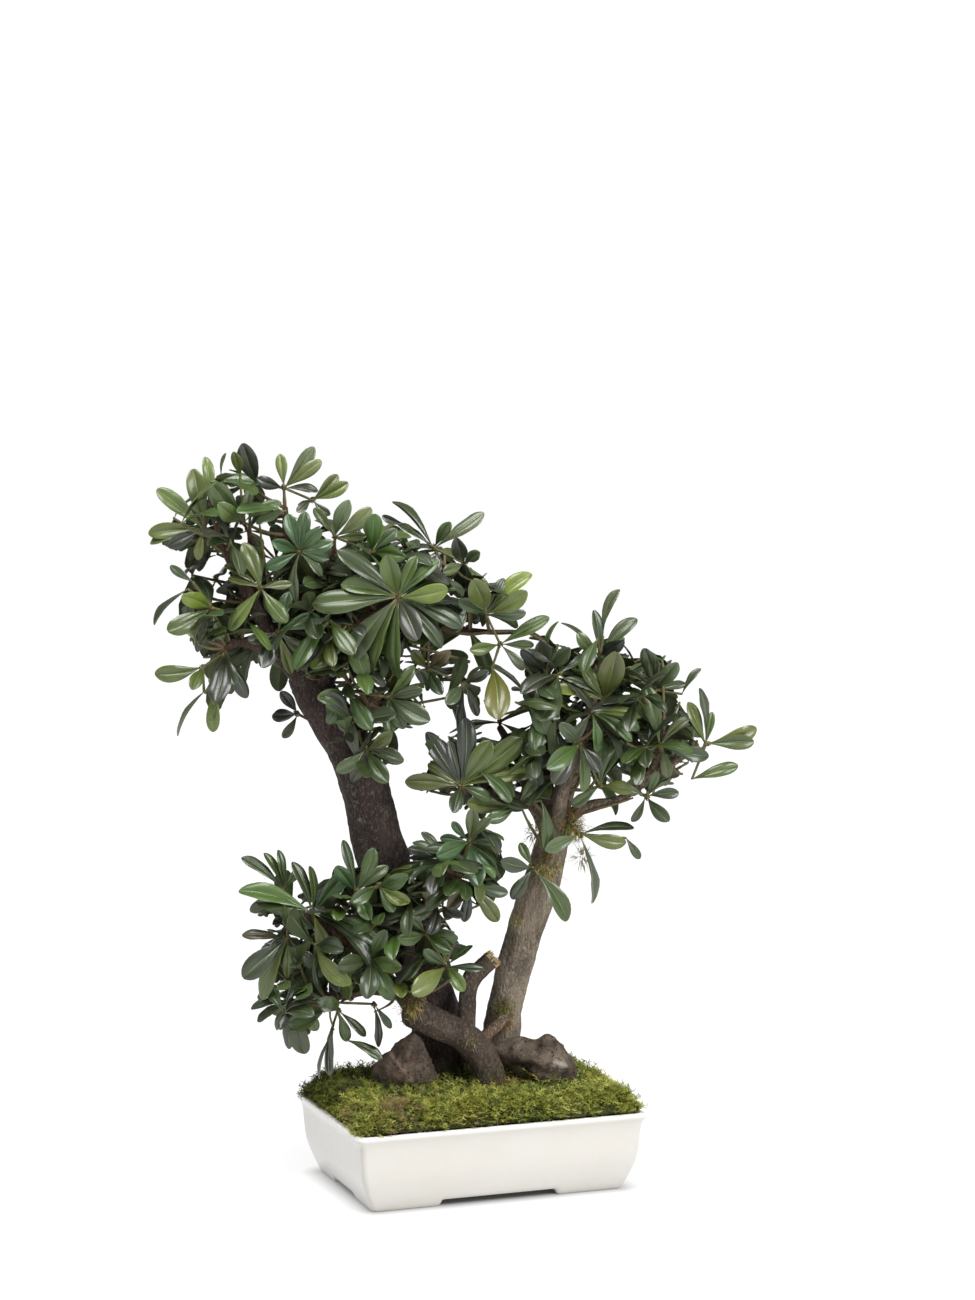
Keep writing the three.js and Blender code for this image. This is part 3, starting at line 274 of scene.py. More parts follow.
floor_mesh = bpy.data.meshes.new("floor")
half = FLOOR_SIDE / 2
floor_corners = [(-half, -half, 0), (half, -half, 0), (half, half, 0), (-half, half, 0)]
floor_mesh.from_pydata(floor_corners, [], [(0, 1, 2, 3)])
# The floor's emission is painted light, dimmed towards the pot's underside as a painted contact shadow
white_floor = Finish("white_floor", base_color=(0.25, 0.25, 0.25), roughness=0.8, emission_strength=1)
spread = white_floor.node("VectorMath", {"operation": "ABSOLUTE"}, {0: white_floor.places})
beyond = white_floor.node("VectorMath", {"operation": "SUBTRACT"}, {0: spread, 1: COVERED})
outside = white_floor.node("VectorMath", {"operation": "MAXIMUM"}, {0: beyond, 1: (0, 0, 0)})
away = white_floor.node("VectorMath", {"operation": "LENGTH"}, {0: outside}, "Value")
farthest = FLOOR_GLOW[-1][0]
painted_light = [(distance / farthest, (share, share, share)) for distance, share in FLOOR_GLOW]
white_floor.set(emission_color=white_floor.ramp(away.maths("DIVIDE", away, farthest), *painted_light))
floor_mesh.materials.append(white_floor.material)
floor = bpy.data.objects.new("floor", floor_mesh)
floor.location = POT_MIDDLE - UP * MM * FLOOR_DROP
scene.collection.objects.link(floor)

# Glazed pot
# A rectangular tray of white stoneware with flared walls and a soft rolled lip, cast in one piece and
# dipped in a thick glossy glaze. Four corner feet stand bare of glaze, with a low gap between each two.

# Sizes in millimetres, and points along the outline's sides, ends and corners
POT_LENGTH = 313
POT_DEPTH = 217
POT_CORNER = 6
# Height and inset from the rim's outline, in millimetres: up the outside, over the lip, down the inside
POT_WALL = (
    (0, 21.4), (0.7, 20.7), (2, 19.8), (4.5, 18.3), (8, 16.8), (12, 15.1), (15.5, 13.7), (19, 12.4),
    (23, 11), (27, 9.7), (31, 8.5), (35, 7.6), (40, 6.8), (46, 6.1), (54, 5.5), (62, 5), (67, 4.5), (70, 4),
    (72.5, 3.2), (74.2, 2.4), (75.5, 1.5), (76.8, 0.7), (78.3, 0.2), (80, 0), (81.2, 0.5), (82, 1.6),
    (82.3, 3.1), (82.1, 4.7), (81.4, 6.1), (80.2, 7.2), (77, 9.5), (68, 11.4), (60, 13.3), (48, 15),
    (36, 17), (29, 20.8), (22, 25.5), (18, 28.5), (15.6, 31.5), (15, 36),
)
# Across the feet and the underside, from the outer edge of a foot inwards
POT_SOLE = ((0, 21.4), (0, 23), (0, 27), (0, 31.6), (0.4, 32.8), (2, 33.4), (5, 33.8), (6.6, 34.6), (7, 36.5))
FOOT_GAPS = (126, 70)
GAP_HEIGHT = 7
GAP_SLOPE = 3.2
SIDE_POINTS = 90
END_POINTS = 62
CORNER_POINTS = 9
DRAIN_RADIUS = 9
DRAIN_SPACING = 140
DRILL_LENGTH = 60
DRILL_SIDES = 40


def outline(inset, shrink=1.0):
    """Points round the pot's rectangle, the given millimetres inside the rim's outline."""
    long, deep = POT_LENGTH / 2 - inset - POT_CORNER, POT_DEPTH / 2 - inset - POT_CORNER
    ring = []
    for corner, (x, y) in enumerate(((1, 1), (-1, 1), (-1, -1), (1, -1))):
        for i in range(CORNER_POINTS + 1):
            turn = (corner + i / CORNER_POINTS) * math.pi / 2
            ring.append((x * long + POT_CORNER * math.cos(turn), y * deep + POT_CORNER * math.sin(turn)))
        steps = SIDE_POINTS if corner % 2 == 0 else END_POINTS
        onward = ((-1, 1), (-1, -1), (1, -1), (1, 1))[corner]
        start = ring[-1]
        stop = (onward[0] * long, start[1]) if corner % 2 == 0 else (start[0], onward[1] * deep)
        for i in range(1, steps):
            ring.append(tuple(a + (b - a) * i / steps for a, b in zip(start, stop)))
    return [(x * shrink, y * shrink) for x, y in ring]


def gap_lift(x, y):
    """How far the foot's edge is cut up here, in millimetres."""
    along = min(abs(x) - FOOT_GAPS[0] / 2, abs(y) - FOOT_GAPS[1] / 2)
    out = min(1, max(0, along / GAP_SLOPE + 0.5))
    return GAP_HEIGHT * (1 - out ** 2 * (3 - 2 * out))


class Skin:
    """Grids of faces that become one piece, each grid with a patch of the piece's map to itself."""

    def __init__(self):
        self.points, self.tones, self.spots = [], [], []
        self.faces, self.kinds, self.corners, self.patches = [], [], [], 0

    def grid(self, rows, kind=0, tone=(1, 1, 1), across=None, along=None, closed=False, seed=0.0, flip=False):
        """Rows of points. Closed joins the last point of each row to the first."""
        wide = len(rows[0])
        columns = wide + closed
        across = across or [i / (columns - 1) for i in range(columns)]
        along = along or [i / (len(rows) - 1) for i in range(len(rows))]
        base = len(self.points)
        for r, row in enumerate(rows):
            for c, place in enumerate(row):
                self.points.append(place)
                self.tones.append((*(tone(r, c) if callable(tone) else tone), 1))
                self.spots.append((across[c], along[r], seed))
        for r in range(len(rows) - 1):
            for c in range(columns - 1):
                d = (c + 1) % wide
                here, onward = base + r * wide, base + (r + 1) * wide
                face = [here + c, here + d, onward + d, onward + c]
                corners = [(c, r), (c + 1, r), (c + 1, r + 1), (c, r + 1)]
                if flip:
                    face.reverse()
                    corners.reverse()
                self.faces.append(face)
                self.kinds.append(kind)
                self.corners += [(self.patches, across[i], along[j]) for i, j in corners]
        self.patches += 1

    def piece(self, name, finishes, slot, *nodes):
        """Makes the piece, which rides with the plant and stands for the given nodes."""
        mesh = bpy.data.meshes.new(name)
        mesh.from_pydata(self.points, [], self.faces)
        for finish in finishes:
            mesh.materials.append(finish.material)
        mesh.polygons.foreach_set("material_index", self.kinds)
        mesh.polygons.foreach_set("use_smooth", [True] * len(self.faces))
        tones = mesh.attributes.new("tone", "FLOAT_COLOR", "POINT")
        tones.data.foreach_set("color", [part for tone in self.tones for part in tone])
        spots = mesh.attributes.new("spot", "FLOAT_VECTOR", "POINT")
        spots.data.foreach_set("vector", [part for spot in self.spots for part in spot])
        cells = math.ceil(math.sqrt(self.patches))
        flat = []
        for patch, u, v in self.corners:
            flat.append((patch % cells + 0.04 + 0.92 * u) / cells)
            flat.append((patch // cells + 0.04 + 0.92 * v) / cells)
        mesh.uv_layers.new(name="OFBake").data.foreach_set("uv", flat)
        made = bpy.data.objects.new(name, mesh)
        scene.collection.objects.link(made)
        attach(made, "root")
        if nodes:
            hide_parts(*nodes)
        return made


def pot_ring(height, inset, shrink=1.0):
    ring = []
    for x, y in outline(inset, shrink):
        lift = gap_lift(x, y) if height < GAP_HEIGHT + 1 else 0
        level = max(height, lift + height * (1 - lift / GAP_HEIGHT) * 0.2) if lift else height
        ring.append(POT_MIDDLE + Vector((x, y, level)) * MM)
    return ring


glaze = Finish("white_glaze", roughness=0.13, coat_weight=0.35, coat_roughness=0.05)
height_above = parts_of(glaze.places)[2]
pooling = glaze.grain(14, 3) * 0.75 + glaze.grain(150, 2) * 0.25
pinholes = glaze.cells(310).step(0.1, 0.04) * glaze.grain(60, 1).step(0.6, 0.68)
white = glaze.ramp(
    pooling, (0.3, (0.592, 0.568, 0.522)), (0.55, (0.612, 0.59, 0.548)), (0.8, (0.627, 0.607, 0.567)),
)
speckled = glaze.blend(pinholes * 0.5, white, (0.42, 0.36, 0.28))
# The top of the lip is painted lighter: a painted highlight where it faces the lamps above
lip_top_highlight = height_above.step(0.0765, 0.0805)
lip_highlighted = glaze.blend(lip_top_highlight * 0.6, speckled, (0.86, 0.85, 0.80))
bare = height_above.step(0.0014, 0.0004)
clay = glaze.ramp(glaze.grain(420, 3), (0.3, (0.42, 0.33, 0.24)), (0.7, (0.55, 0.46, 0.36)))
ripples = glaze.grain(75, 2) * 0.7 + glaze.grain(420, 2) * 0.3
glaze.set(
    base_color=glaze.blend(bare, lip_highlighted, clay),
    roughness=glaze.grain(90, 3) * 0.1 + 0.07 + bare * 0.5,
    normal=glaze.bump(ripples - pinholes * 0.5 + bare * 0.6, 0.0006, 0.35),
)

pot_skin = Skin()
sole = [pot_ring(height, inset) for height, inset in reversed(POT_SOLE)]
wall = [pot_ring(height, inset) for height, inset in POT_WALL]
under = [pot_ring(GAP_HEIGHT, POT_SOLE[-1][1], share) for share in (0, 0.35, 0.7)]
inside = [pot_ring(POT_WALL[-1][0], POT_WALL[-1][1], share) for share in (0.7, 0.35, 0)]
pot_skin.grid(under + sole + wall[1:] + inside, closed=True)
POT_NODES = ("pot", "foot_front_left", "foot_front_right", "foot_back_left", "foot_back_right")
pot = pot_skin.piece("glazed_pot", [glaze], "glazed_white", *POT_NODES)


def cut_away(piece, cutter):
    """Cuts a shape out of a piece, and removes the cutter."""
    cut = piece.modifiers.new("cut", "BOOLEAN")
    cut.object, cut.operation, cut.solver = cutter, "DIFFERENCE", "EXACT"
    shape = bpy.data.meshes.new_from_object(piece.evaluated_get(bpy.context.evaluated_depsgraph_get()))
    piece.modifiers.remove(cut)
    piece.data = shape
    bpy.data.objects.remove(cutter)


for side in (-1, 1):
    drill_mesh = bpy.data.meshes.new("drill")
    drill_shape = bmesh.new()
    bmesh.ops.create_cone(
        drill_shape, cap_ends=True, segments=DRILL_SIDES, depth=DRILL_LENGTH * MM,
        radius1=DRAIN_RADIUS * MM, radius2=DRAIN_RADIUS * MM,
    )
    hole = POT_MIDDLE + Vector((side * DRAIN_SPACING / 2 * MM, 0, 0))
    bmesh.ops.translate(drill_shape, vec=hole, verts=drill_shape.verts)
    drill_shape.to_mesh(drill_mesh)
    drill = bpy.data.objects.new("drill", drill_mesh)
    scene.collection.objects.link(drill)
    cut_away(pot, drill)

# Drain nets and soil
# Squares of moulded black plastic net lie over the two drain holes, and coarse potting soil with grains
# of white pumice fills the pot up to the moss. Both are seen only through the holes.

net = Finish("drain_net", roughness=0.5)
net_wear = net.grain(240, 3)
net.set(
    base_color=net.ramp(net_wear, (0.3, (0.012, 0.014, 0.016)), (0.75, (0.045, 0.05, 0.055))),
    roughness=net_wear * 0.3 + 0.4,
    normal=net.bump(net.grain(900, 2), 0.0002, 0.4),
)
earth = Finish("potting_soil", roughness=0.95)
lumps = earth.cells(330)
pumice = earth.cells(330, output="Color")
grit = parts_of(pumice)[0].step(0.86, 0.9)
# Each crumb is painted darker towards its edges: painted shade in the cracks between crumbs
crumbs_painted_shade = earth.ramp(lumps, (0.1, (0.07, 0.042, 0.024)), (0.6, (0.018, 0.011, 0.007)))
earth.set(
    base_color=earth.blend(grit * 0.8, crumbs_painted_shade, (0.5, 0.46, 0.4)),
    normal=earth.bump(1 - lumps, 0.002, 0.9),
)
for node_name, finish in (("drain_screen_left", net), ("drain_screen_right", net), ("soil", earth)):
    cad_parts[node_name].data.materials.clear()
    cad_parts[node_name].data.materials.append(finish.material)

# Stems and limbs
# A dark smooth stem leans in from behind to carry the left crown, a grey one carries the right crown, and
# a low one, with a torn stub and a torn end, carries the lowest pad of leaves. Their bark is thin and
# finely wrinkled, with lichen, and grows redder towards the twigs.

# Each station is a pixel across, a pixel down, nearness and radius in millimetres, from the root up
STEMS = {
    "trunk_left": (
        (444, 1096, -34, 33), (441, 1064, -34, 29), (433, 1010, -33, 26), (415, 955, -31, 25),
        (395, 900, -28, 25.5), (379, 848, -25, 26.8), (363, 780, -22, 25.2), (344, 738, -20, 24.2),
        (320, 700, -17, 22), (306, 678, -15, 18.5),
    ),
    "trunk_right": (
        (500, 1096, -37, 25), (500, 1062, -35, 22.5), (502, 1030, -33, 20), (505, 1008, -32, 18),
        (514, 969, -30, 18), (523, 938, -28, 18), (536, 900, -25, 20), (546, 866, -22, 19),
        (554, 836, -18, 16.5), (559, 812, -15, 14),
    ),
    "trunk_low": (
        (493, 1100, 13, 18), (490, 1078, 13, 17), (482, 1057, 14, 16), (463, 1036, 17, 15.5),
        (437, 1024, 22, 15.5), (414, 1012, 27, 16),
    ),
}
LIMBS = {
    "left_limb": ("trunk_left", (
        (314, 690, -15, 14), (284, 655, -2, 10), (258, 612, 12, 7.5), (235, 568, 16, 5.5),
        (218, 538, 12, 3.6),
    )),
    "left_low_limb": ("trunk_left", (
        (288, 662, -5, 9), (264, 646, 12, 7), (240, 642, 20, 5), (226, 648, 22, 3.4),
    )),
    "top_limb": ("trunk_left", (
        (307, 690, -18, 13), (296, 640, -22, 9.5), (290, 590, -20, 7), (287, 545, -16, 5),
        (285, 508, -12, 3.2),
    )),
    "middle_limb": ("trunk_left", (
        (294, 622, -21, 7.5), (310, 588, -8, 5.5), (325, 562, 4, 4.2), (334, 548, 12, 3),
    )),
    "front_limb": ("trunk_left", (
        (316, 690, -12, 11), (332, 655, 6, 6.2), (360, 624, 24, 4.4), (390, 604, 38, 3.4),
    )),
    "bridge_limb": ("trunk_left", (
        (318, 688, -20, 11), (350, 652, -24, 7.5), (392, 634, -20, 5), (440, 629, -14, 3.4),
        (490, 632, -8, 2.7), (530, 633, -5, 2.2), (548, 645, -4, 1.7),
    )),
    "right_limb": ("trunk_left", (
        (394, 634, -20, 4.6), (415, 602, -12, 3.8), (434, 575, -8, 3.2), (452, 566, -2, 2.6),
    )),
    "back_limb": ("trunk_left", (
        (304, 690, -24, 13), (288, 640, -50, 9), (270, 592, -70, 6.5), (258, 556, -82, 4.5),
        (250, 538, -86, 3.2),
    )),
    "back_right_limb": ("trunk_left", (
        (316, 686, -26, 11), (338, 642, -54, 8), (366, 604, -74, 6), (398, 580, -84, 4),
    )),
    "throat_limb": ("trunk_left", ((334, 722, -16, 9), (350, 712, 10, 5), (368, 705, 24, 3.4))),
    "collar_limb": ("trunk_left", ((362, 775, -18, 8), (368, 764, 12, 4), (368, 757, 20, 3.2))),
    "right_top_limb": ("trunk_right", (
        (556, 828, -17, 13), (564, 790, -14, 10), (577, 752, -8, 7.5), (589, 715, 0, 6), (597, 684, 4, 4.4),
        (601, 664, 6, 3.2),
    )),
    "right_side_limb": ("trunk_right", (
        (557, 824, -16, 11), (588, 806, -6, 5.6), (618, 800, 4, 4.4), (642, 782, 10, 3.8),
        (658, 758, 14, 3.2), (664, 726, 10, 2.4),
    )),
    "right_far_limb": ("trunk_right", (
        (640, 784, 9, 6), (666, 766, 16, 5), (686, 754, 18, 3.8), (698, 748, 18, 3.2),
    )),
    "right_left_limb": ("trunk_right", (
        (552, 836, -18, 11), (532, 806, -6, 5.4), (508, 792, 6, 4), (484, 792, 12, 3.2),
        (470, 792, 16, 2.4),
    )),
    "right_front_limb": ("trunk_right", (
        (557, 830, -14, 11), (562, 796, 10, 7), (571, 764, 26, 5), (577, 742, 34, 3.6),
    )),
    "right_up_limb": ("trunk_right", (
        (554, 828, -20, 11), (545, 782, -24, 8), (538, 738, -22, 6), (538, 705, -18, 4.6),
        (543, 682, -13, 3.2),
    )),
    "right_back_limb": ("trunk_right", (
        (556, 824, -22, 11), (570, 782, -48, 8), (590, 738, -66, 6), (612, 705, -78, 4.4),
    )),
    "right_back_left_limb": ("trunk_right", (
        (552, 830, -24, 11), (534, 788, -50, 7), (514, 752, -66, 5.4), (500, 728, -74, 3.8),
    )),
    "low_left_limb": ("trunk_low", (
        (421, 1015, 25, 13), (398, 990, 33, 8.5), (370, 962, 38, 6.5), (340, 936, 40, 5),
        (306, 916, 38, 3.6),
    )),
    "low_top_limb": ("trunk_low", (
        (419, 1013, 25, 12), (411, 975, 32, 8), (410, 940, 38, 6), (425, 905, 40, 4.6), (447, 880, 38, 4),
        (462, 862, 34, 3.2),
    )),
    "low_hanging_limb": ("trunk_low", (
        (400, 992, 32, 8), (372, 990, 36, 5.5), (340, 996, 36, 4.2), (314, 999, 34, 3.2),
    )),
    "low_right_limb": ("trunk_low", ((413, 984, 30, 7), (430, 972, 38, 4.8), (442, 966, 42, 3.4))),
    "low_back_limb": ("trunk_low", (
        (382, 974, 36, 7), (356, 950, 12, 5.2), (326, 930, -14, 4.4), (300, 916, -36, 3.4),
    )),
}
STUB = (
    (465, 1034, 16, 10.5), (467, 1012, 12, 9), (468, 992, 8, 8.8), (472, 978, 4, 10), (482, 968, 1, 9.5),
    (492, 959, -2, 9.5),
)
BARK_TONES = {
    "trunk_left": (0.058, 0.039, 0.035), "trunk_right": (0.300, 0.243, 0.182),
    "trunk_low": (0.096, 0.070, 0.054),
}
# How strongly pale flecks show on each
BARK_FLECKS = {"trunk_left": 0.2, "trunk_right": 0.75, "trunk_low": 0.32}
YOUNG_BARK = (0.11, 0.06, 0.036)
# A root that leans on the foot of the grey stem
ROOT = ((470, 1050, 24, 5.5), (480, 1041, 17, 6), (493, 1029, 8, 6.2), (506, 1018, 0, 5.5))
ROOT_TONE = (0.15, 0.095, 0.06)
# Distance between two rings of a course in metres, and the points of a ring
STEM_STEP, LIMB_STEP, ROOT_STEP, TWIG_STEP = 0.0032, 0.004, 0.003, 0.0045
STEM_SIDES, LIMB_SIDES, ROOT_SIDES, STUB_SIDES = 44, 16, 24, 28
# Splinters on the stub and on the torn end: how many, the longest in metres, and a seed. The torn end's
# radius is in metres too.
STUB_SPLINTERS = (90, 0.007, 3.0)
END_SPLINTERS = (110, 0.011, 8.0)
END_RADIUS = 0.0135
# Height of the moss at the stems' feet, in metres
MOSS_LINE = 0.105
# The turn from one leaf, scale or splinter to the next, in radians
GOLDEN_TURN = 2.4


def chance(seed):
    """A repeatable number from 0 to 1 for each seed."""
    wide = math.sin(seed * 12.9898) * 43758.5453
    return wide - math.floor(wide)


def course(stations, step):
    """Places about a step apart on a smooth curve through the stations, with the radius at each."""
    knots = [(seen(*station[:3]), station[3] * MM) for station in stations]
    places = []
    for i in range(len(knots) - 1):
        before, start, stop, after = (knots[min(max(j, 0), len(knots) - 1)] for j in range(i - 1, i + 3))
        count = max(1, round((stop[0] - start[0]).length / step))
        for k in range(count):
            t = k / count
            place = start[0] * 2 + (stop[0] - before[0]) * t
            place += (before[0] * 2 - start[0] * 5 + stop[0] * 4 - after[0]) * t ** 2
            place += (start[0] * 3 - before[0] - stop[0] * 3 + after[0]) * t ** 3
            places.append((place / 2, start[1] + (stop[1] - start[1]) * (t * t * (3 - 2 * t))))
    return places + [knots[-1]]


def rings_of(places, sides, shape):
    """A ring of points round each place, with the radius that shape gives there."""
    rings, side, run = [], NEAR.copy(), 0.0
    for i, (middle, radius) in enumerate(places):
        along = (places[min(i + 1, len(places) - 1)][0] - places[max(i - 1, 0)][0]).normalized()
        side = (side - along * side.dot(along)).normalized()
        other = along.cross(side)
        run += (middle - places[max(i - 1, 0)][0]).length
        ring = []
        for s in range(sides):
            turn = s / sides * math.tau
            outward = side * math.cos(turn) + other * math.sin(turn)
            ring.append(middle + outward * shape(middle, outward, radius, run))
        rings.append(ring)
    return rings


def rounded_end(places, share=0.75):
    """Adds a dome to the end of a course."""
    (before, _), (last, radius) = places[-2:]
    along = (last - before).normalized()
    ends = [
        (last + along * radius * share * math.sin(turn), radius * math.cos(turn))
        for turn in (0.5, 0.95, 1.3)
    ]
    return places + ends + [(last + along * radius * share, radius * 0.03)]


def barked(middle, outward, radius, run):
    """The radius of a stem here, with its swellings, ridges and wrinkles."""
    place = middle + outward * radius
    swelling = noise.noise(place * 17) * 0.1 + noise.noise(place * 42) * 0.06
    ridge = noise.noise(Vector((outward.x * 3.2, outward.y * 3.2, run * 14)) + place * 3) * 0.1
    upright = Vector((place.x, place.y, place.z * 0.4))
    wrinkle = noise.noise(place * 160) * 0.03 + noise.noise(upright * 420) * 0.02
    return radius * (1 + swelling + ridge + wrinkle)


def bark_tone(trunk, radius):
    young = min(1, max(0, (9 * MM - radius) / (6 * MM)))
    return tuple(old + (new - old) * young * 0.75 for old, new in zip(BARK_TONES[trunk], YOUNG_BARK))


def wooden(name, moss_height, flecks):
    """Bark over its tone, with lichen, and green at its foot."""
    bark = Finish(name, roughness=0.85, specular_ior_level=0.2)
    tone = bark.read("tone")
    streaks = bark.grain(85, 5, 0.65, places=bark.stretched(1, 1, 0.24))
    wrinkles = bark.grain(430, 4, 0.6, places=bark.stretched(1, 1, 0.5))
    warts = bark.cells(300, places=bark.stretched(1, 1, 0.7)).step(0.32, 0.1)
    warts = warts * bark.grain(45, 3).step(0.4, 0.62)
    plates = bark.cells(230, "DISTANCE_TO_EDGE", places=bark.stretched(1, 1, 0.45))
    blotches = bark.grain(34, 5, 0.6, warp=0.3).step(0.47, 0.6)
    shaded = bark.blend(blotches * 0.55, tone, bark.blend(0.6, tone, (0.02, 0.015, 0.014)))
    aged = bark.blend(streaks.step(0.35, 0.72), bark.blend(0.5, shaded, (0.012, 0.009, 0.007)), shaded)
    scurf = bark.blend(wrinkles.step(0.5, 0.72) * flecks, aged, (0.34, 0.3, 0.24))
    pale = bark.blend(warts * flecks, scurf, (0.4, 0.34, 0.26))
    lichen = bark.grain(38, 5, 0.7).step(0.56, 0.66) * bark.grain(210, 3).step(0.44, 0.6)
    spotted = bark.blend(lichen * flecks, pale, (0.3, 0.31, 0.22))
    foot = parts_of(bark.places)[2].step(moss_height + 0.03, moss_height)
    foot = foot * bark.grain(120, 3).step(0.42, 0.62)
    relief = wrinkles * 0.6 + streaks * 1.1 + plates.step(0, 0.12) * 0.35 + lichen * 0.25 + warts * 0.5
    bark.set(
        base_color=bark.blend(foot * 0.6, spotted, (0.09, 0.12, 0.025)),
        roughness=0.95 - wrinkles * 0.3,
        normal=bark.bump(relief, 0.0022, 0.9),
    )
    return bark


torn = Finish("torn_wood", roughness=0.8)
fibre = torn.grain(520, 4, places=torn.stretched(1, 1, 0.25))
torn.set(
    base_color=torn.blend(
        torn.grain(90, 3).step(0.4, 0.62),
        torn.ramp(fibre, (0.3, (0.16, 0.07, 0.025)), (0.7, (0.5, 0.3, 0.13))),
        torn.ramp(fibre, (0.3, (0.2, 0.17, 0.06)), (0.7, (0.46, 0.36, 0.2))),
    ),
    normal=torn.bump(fibre, 0.001, 0.8),
)


def splinters(skin, middle, along, radius, count, longest, seed):
    """Short sharp fibres that stand on a torn end."""
    side = along.orthogonal().normalized()
    other = along.cross(side)
    ways = [side * math.cos(turn) + other * math.sin(turn) for turn in (0, 1.4, 2.9, 4.5)]
    for i in range(count):
        turn, out = i * GOLDEN_TURN, math.sqrt((i + 0.5) / count) * radius
        foot = middle + (side * math.cos(turn) + other * math.sin(turn)) * out - along * 0.003
        lean = along + (side * (chance(seed + i) - 0.5) + other * (chance(seed + i * 2 + 0.5) - 0.5)) * 0.7
        tall = longest * (0.35 + 0.65 * chance(seed + i * 3)) * (0.6 + 0.4 * out / radius)
        thick = radius * (0.1 + 0.12 * chance(seed + i * 5))
        rings = []
        for share in (0, 0.5, 0.85, 1):
            wide = thick * (1 - share * 0.92)
            centre = foot + lean.normalized() * (tall * share + 0.003 * share)
            rings.append([centre + way * wide for way in ways])
        skin.grid(rings, 1, closed=True, seed=i)


for trunk, stations in STEMS.items():
    wood = Skin()
    places = rounded_end(course(stations, STEM_STEP))
    rings = rings_of(places, STEM_SIDES, barked)
    wood.grid(rings, tone=lambda r, c: bark_tone(trunk, places[r][1]), closed=True)
    for owner, run in LIMBS.values():
        if owner == trunk:
            thin = rounded_end(course(run, LIMB_STEP))
            rings = rings_of(thin, LIMB_SIDES, barked)
            wood.grid(rings, tone=lambda r, c: bark_tone(trunk, thin[r][1]), closed=True)
    if trunk == "trunk_right":
        root = rounded_end(course(ROOT, ROOT_STEP))
        wood.grid(rings_of(root, ROOT_SIDES, barked), tone=ROOT_TONE, closed=True)
    if trunk == "trunk_low":
        stump = course(STUB, ROOT_STEP)
        wood.grid(rings_of(stump, STUB_SIDES, barked), tone=BARK_TONES[trunk], closed=True)
        stump_way = (stump[-1][0] - stump[-4][0]).normalized()
        splinters(wood, stump[-1][0], stump_way, stump[-1][1] * 0.95, *STUB_SPLINTERS)
        low_end = course(stations, STEM_STEP)
        low_way = (low_end[-1][0] - low_end[-4][0]).normalized()
        splinters(wood, low_end[-1][0], low_way, END_RADIUS, *END_SPLINTERS)
    finish = wooden(trunk + "_bark", MOSS_LINE, BARK_FLECKS[trunk])
    slot = "grey_bark" if trunk == "trunk_right" else "dark_bark"
    wood.piece(trunk.replace("trunk", "stem"), [finish, torn], slot, trunk)

# Rocks
# Two weathered lumps of brown-grey lava stone are bedded in the moss and wedge the stems' feet. The left one
# is a blunt wedge, the right one lies along the front of the grey stem, and broken faces meet in worn edges.

# Outlines in the picture, their middles as a pixel and nearness, half thickness, and breaks as a direction
# right, near and up with its distance as a share of the half sizes
ROCKS = {
    "rock_left": (
        (
            (414, 1033), (400, 1043), (386, 1054), (375, 1066), (372, 1078), (374, 1092), (391, 1101),
            (406, 1100), (426, 1095), (435, 1083), (434, 1066), (427, 1052), (419, 1038),
        ),
        (404, 1070, 20), 28,
        (
            (0.55, 0.8, 0.25, 0.72), (-0.45, 0.75, 0.5, 0.7), (0.1, 0.95, -0.4, 0.82),
            (-0.7, 0.7, -0.1, 0.78), (0.1, -0.95, 0.3, 0.8),
        ),
    ),
    "rock_right": (
        (
            (492, 1049), (501, 1041), (512, 1036), (524, 1036), (536, 1039), (545, 1034), (554, 1038),
            (562, 1046), (570, 1057), (575, 1067), (576, 1082), (572, 1094), (552, 1096), (538, 1084),
            (529, 1073), (519, 1065), (505, 1065), (497, 1059),
        ),
        (538, 1060, 10), 25,
        (
            (0.5, 0.8, 0.35, 0.76), (-0.3, 0.8, 0.5, 0.66), (0.15, 0.9, -0.4, 0.8), (-0.75, 0.6, 0.1, 0.7),
            (0.1, -0.95, 0.3, 0.8),
        ),
    ),
}
ROCK_ROUNDING = 0.05
# Directions that the outlines are measured in, and how often the faces of a ball are split
ROCK_TURNS = 180
ROCK_SPLITS = 5
# A vein on the left rock and a scar on the right one: two ends and half width in pixels, tone and strength
MARKS = {
    "rock_left": ((391, 1055), (412, 1080), 1.7, (0.34, 0.22, 0.17), 0.75),
    "rock_right": ((555, 1062), (561, 1064), 3.2, (0.44, 0.4, 0.35), 0.65),
}

stone = Finish("lava_stone", roughness=0.9, specular_ior_level=0.25)
coarse = stone.grain(46, 6, 0.7, warp=0.4)
fine = stone.grain(330, 4, 0.65)
pits = stone.cells(210).step(0.3, 0.05) * stone.grain(60, 3).step(0.4, 0.6)
body = stone.ramp(
    coarse, (0.3, (0.018, 0.013, 0.010)), (0.46, (0.074, 0.055, 0.041)), (0.6, (0.138, 0.106, 0.078)),
    (0.78, (0.24, 0.198, 0.15)),
)
worn = stone.blend(fine.step(0.5, 0.78) * 0.4, body, (0.26, 0.22, 0.175))
rusty = stone.blend(stone.grain(40, 3).step(0.55, 0.68) * 0.45, worn, (0.13, 0.062, 0.036))
mark_share = parts_of(stone.read("mark", "Vector"))[0] * (0.55 + fine * 0.6)
marked = stone.blend(mark_share, rusty, stone.read("tone"))
# The pits are painted near-black: painted shade inside the holes
pits_painted_shade = stone.blend(pits * 0.75, marked, (0.01, 0.008, 0.007))
damp = parts_of(stone.places)[2].step(0.116, 0.1) * stone.grain(90, 4).step(0.4, 0.62)
stone.set(
    base_color=stone.blend(damp * 0.5, pits_painted_shade, (0.07, 0.085, 0.022)),
    roughness=0.95 - fine * 0.2,
    normal=stone.bump(coarse * 1.2 + fine * 0.4 - pits * 0.8, 0.004, 0.85),
)


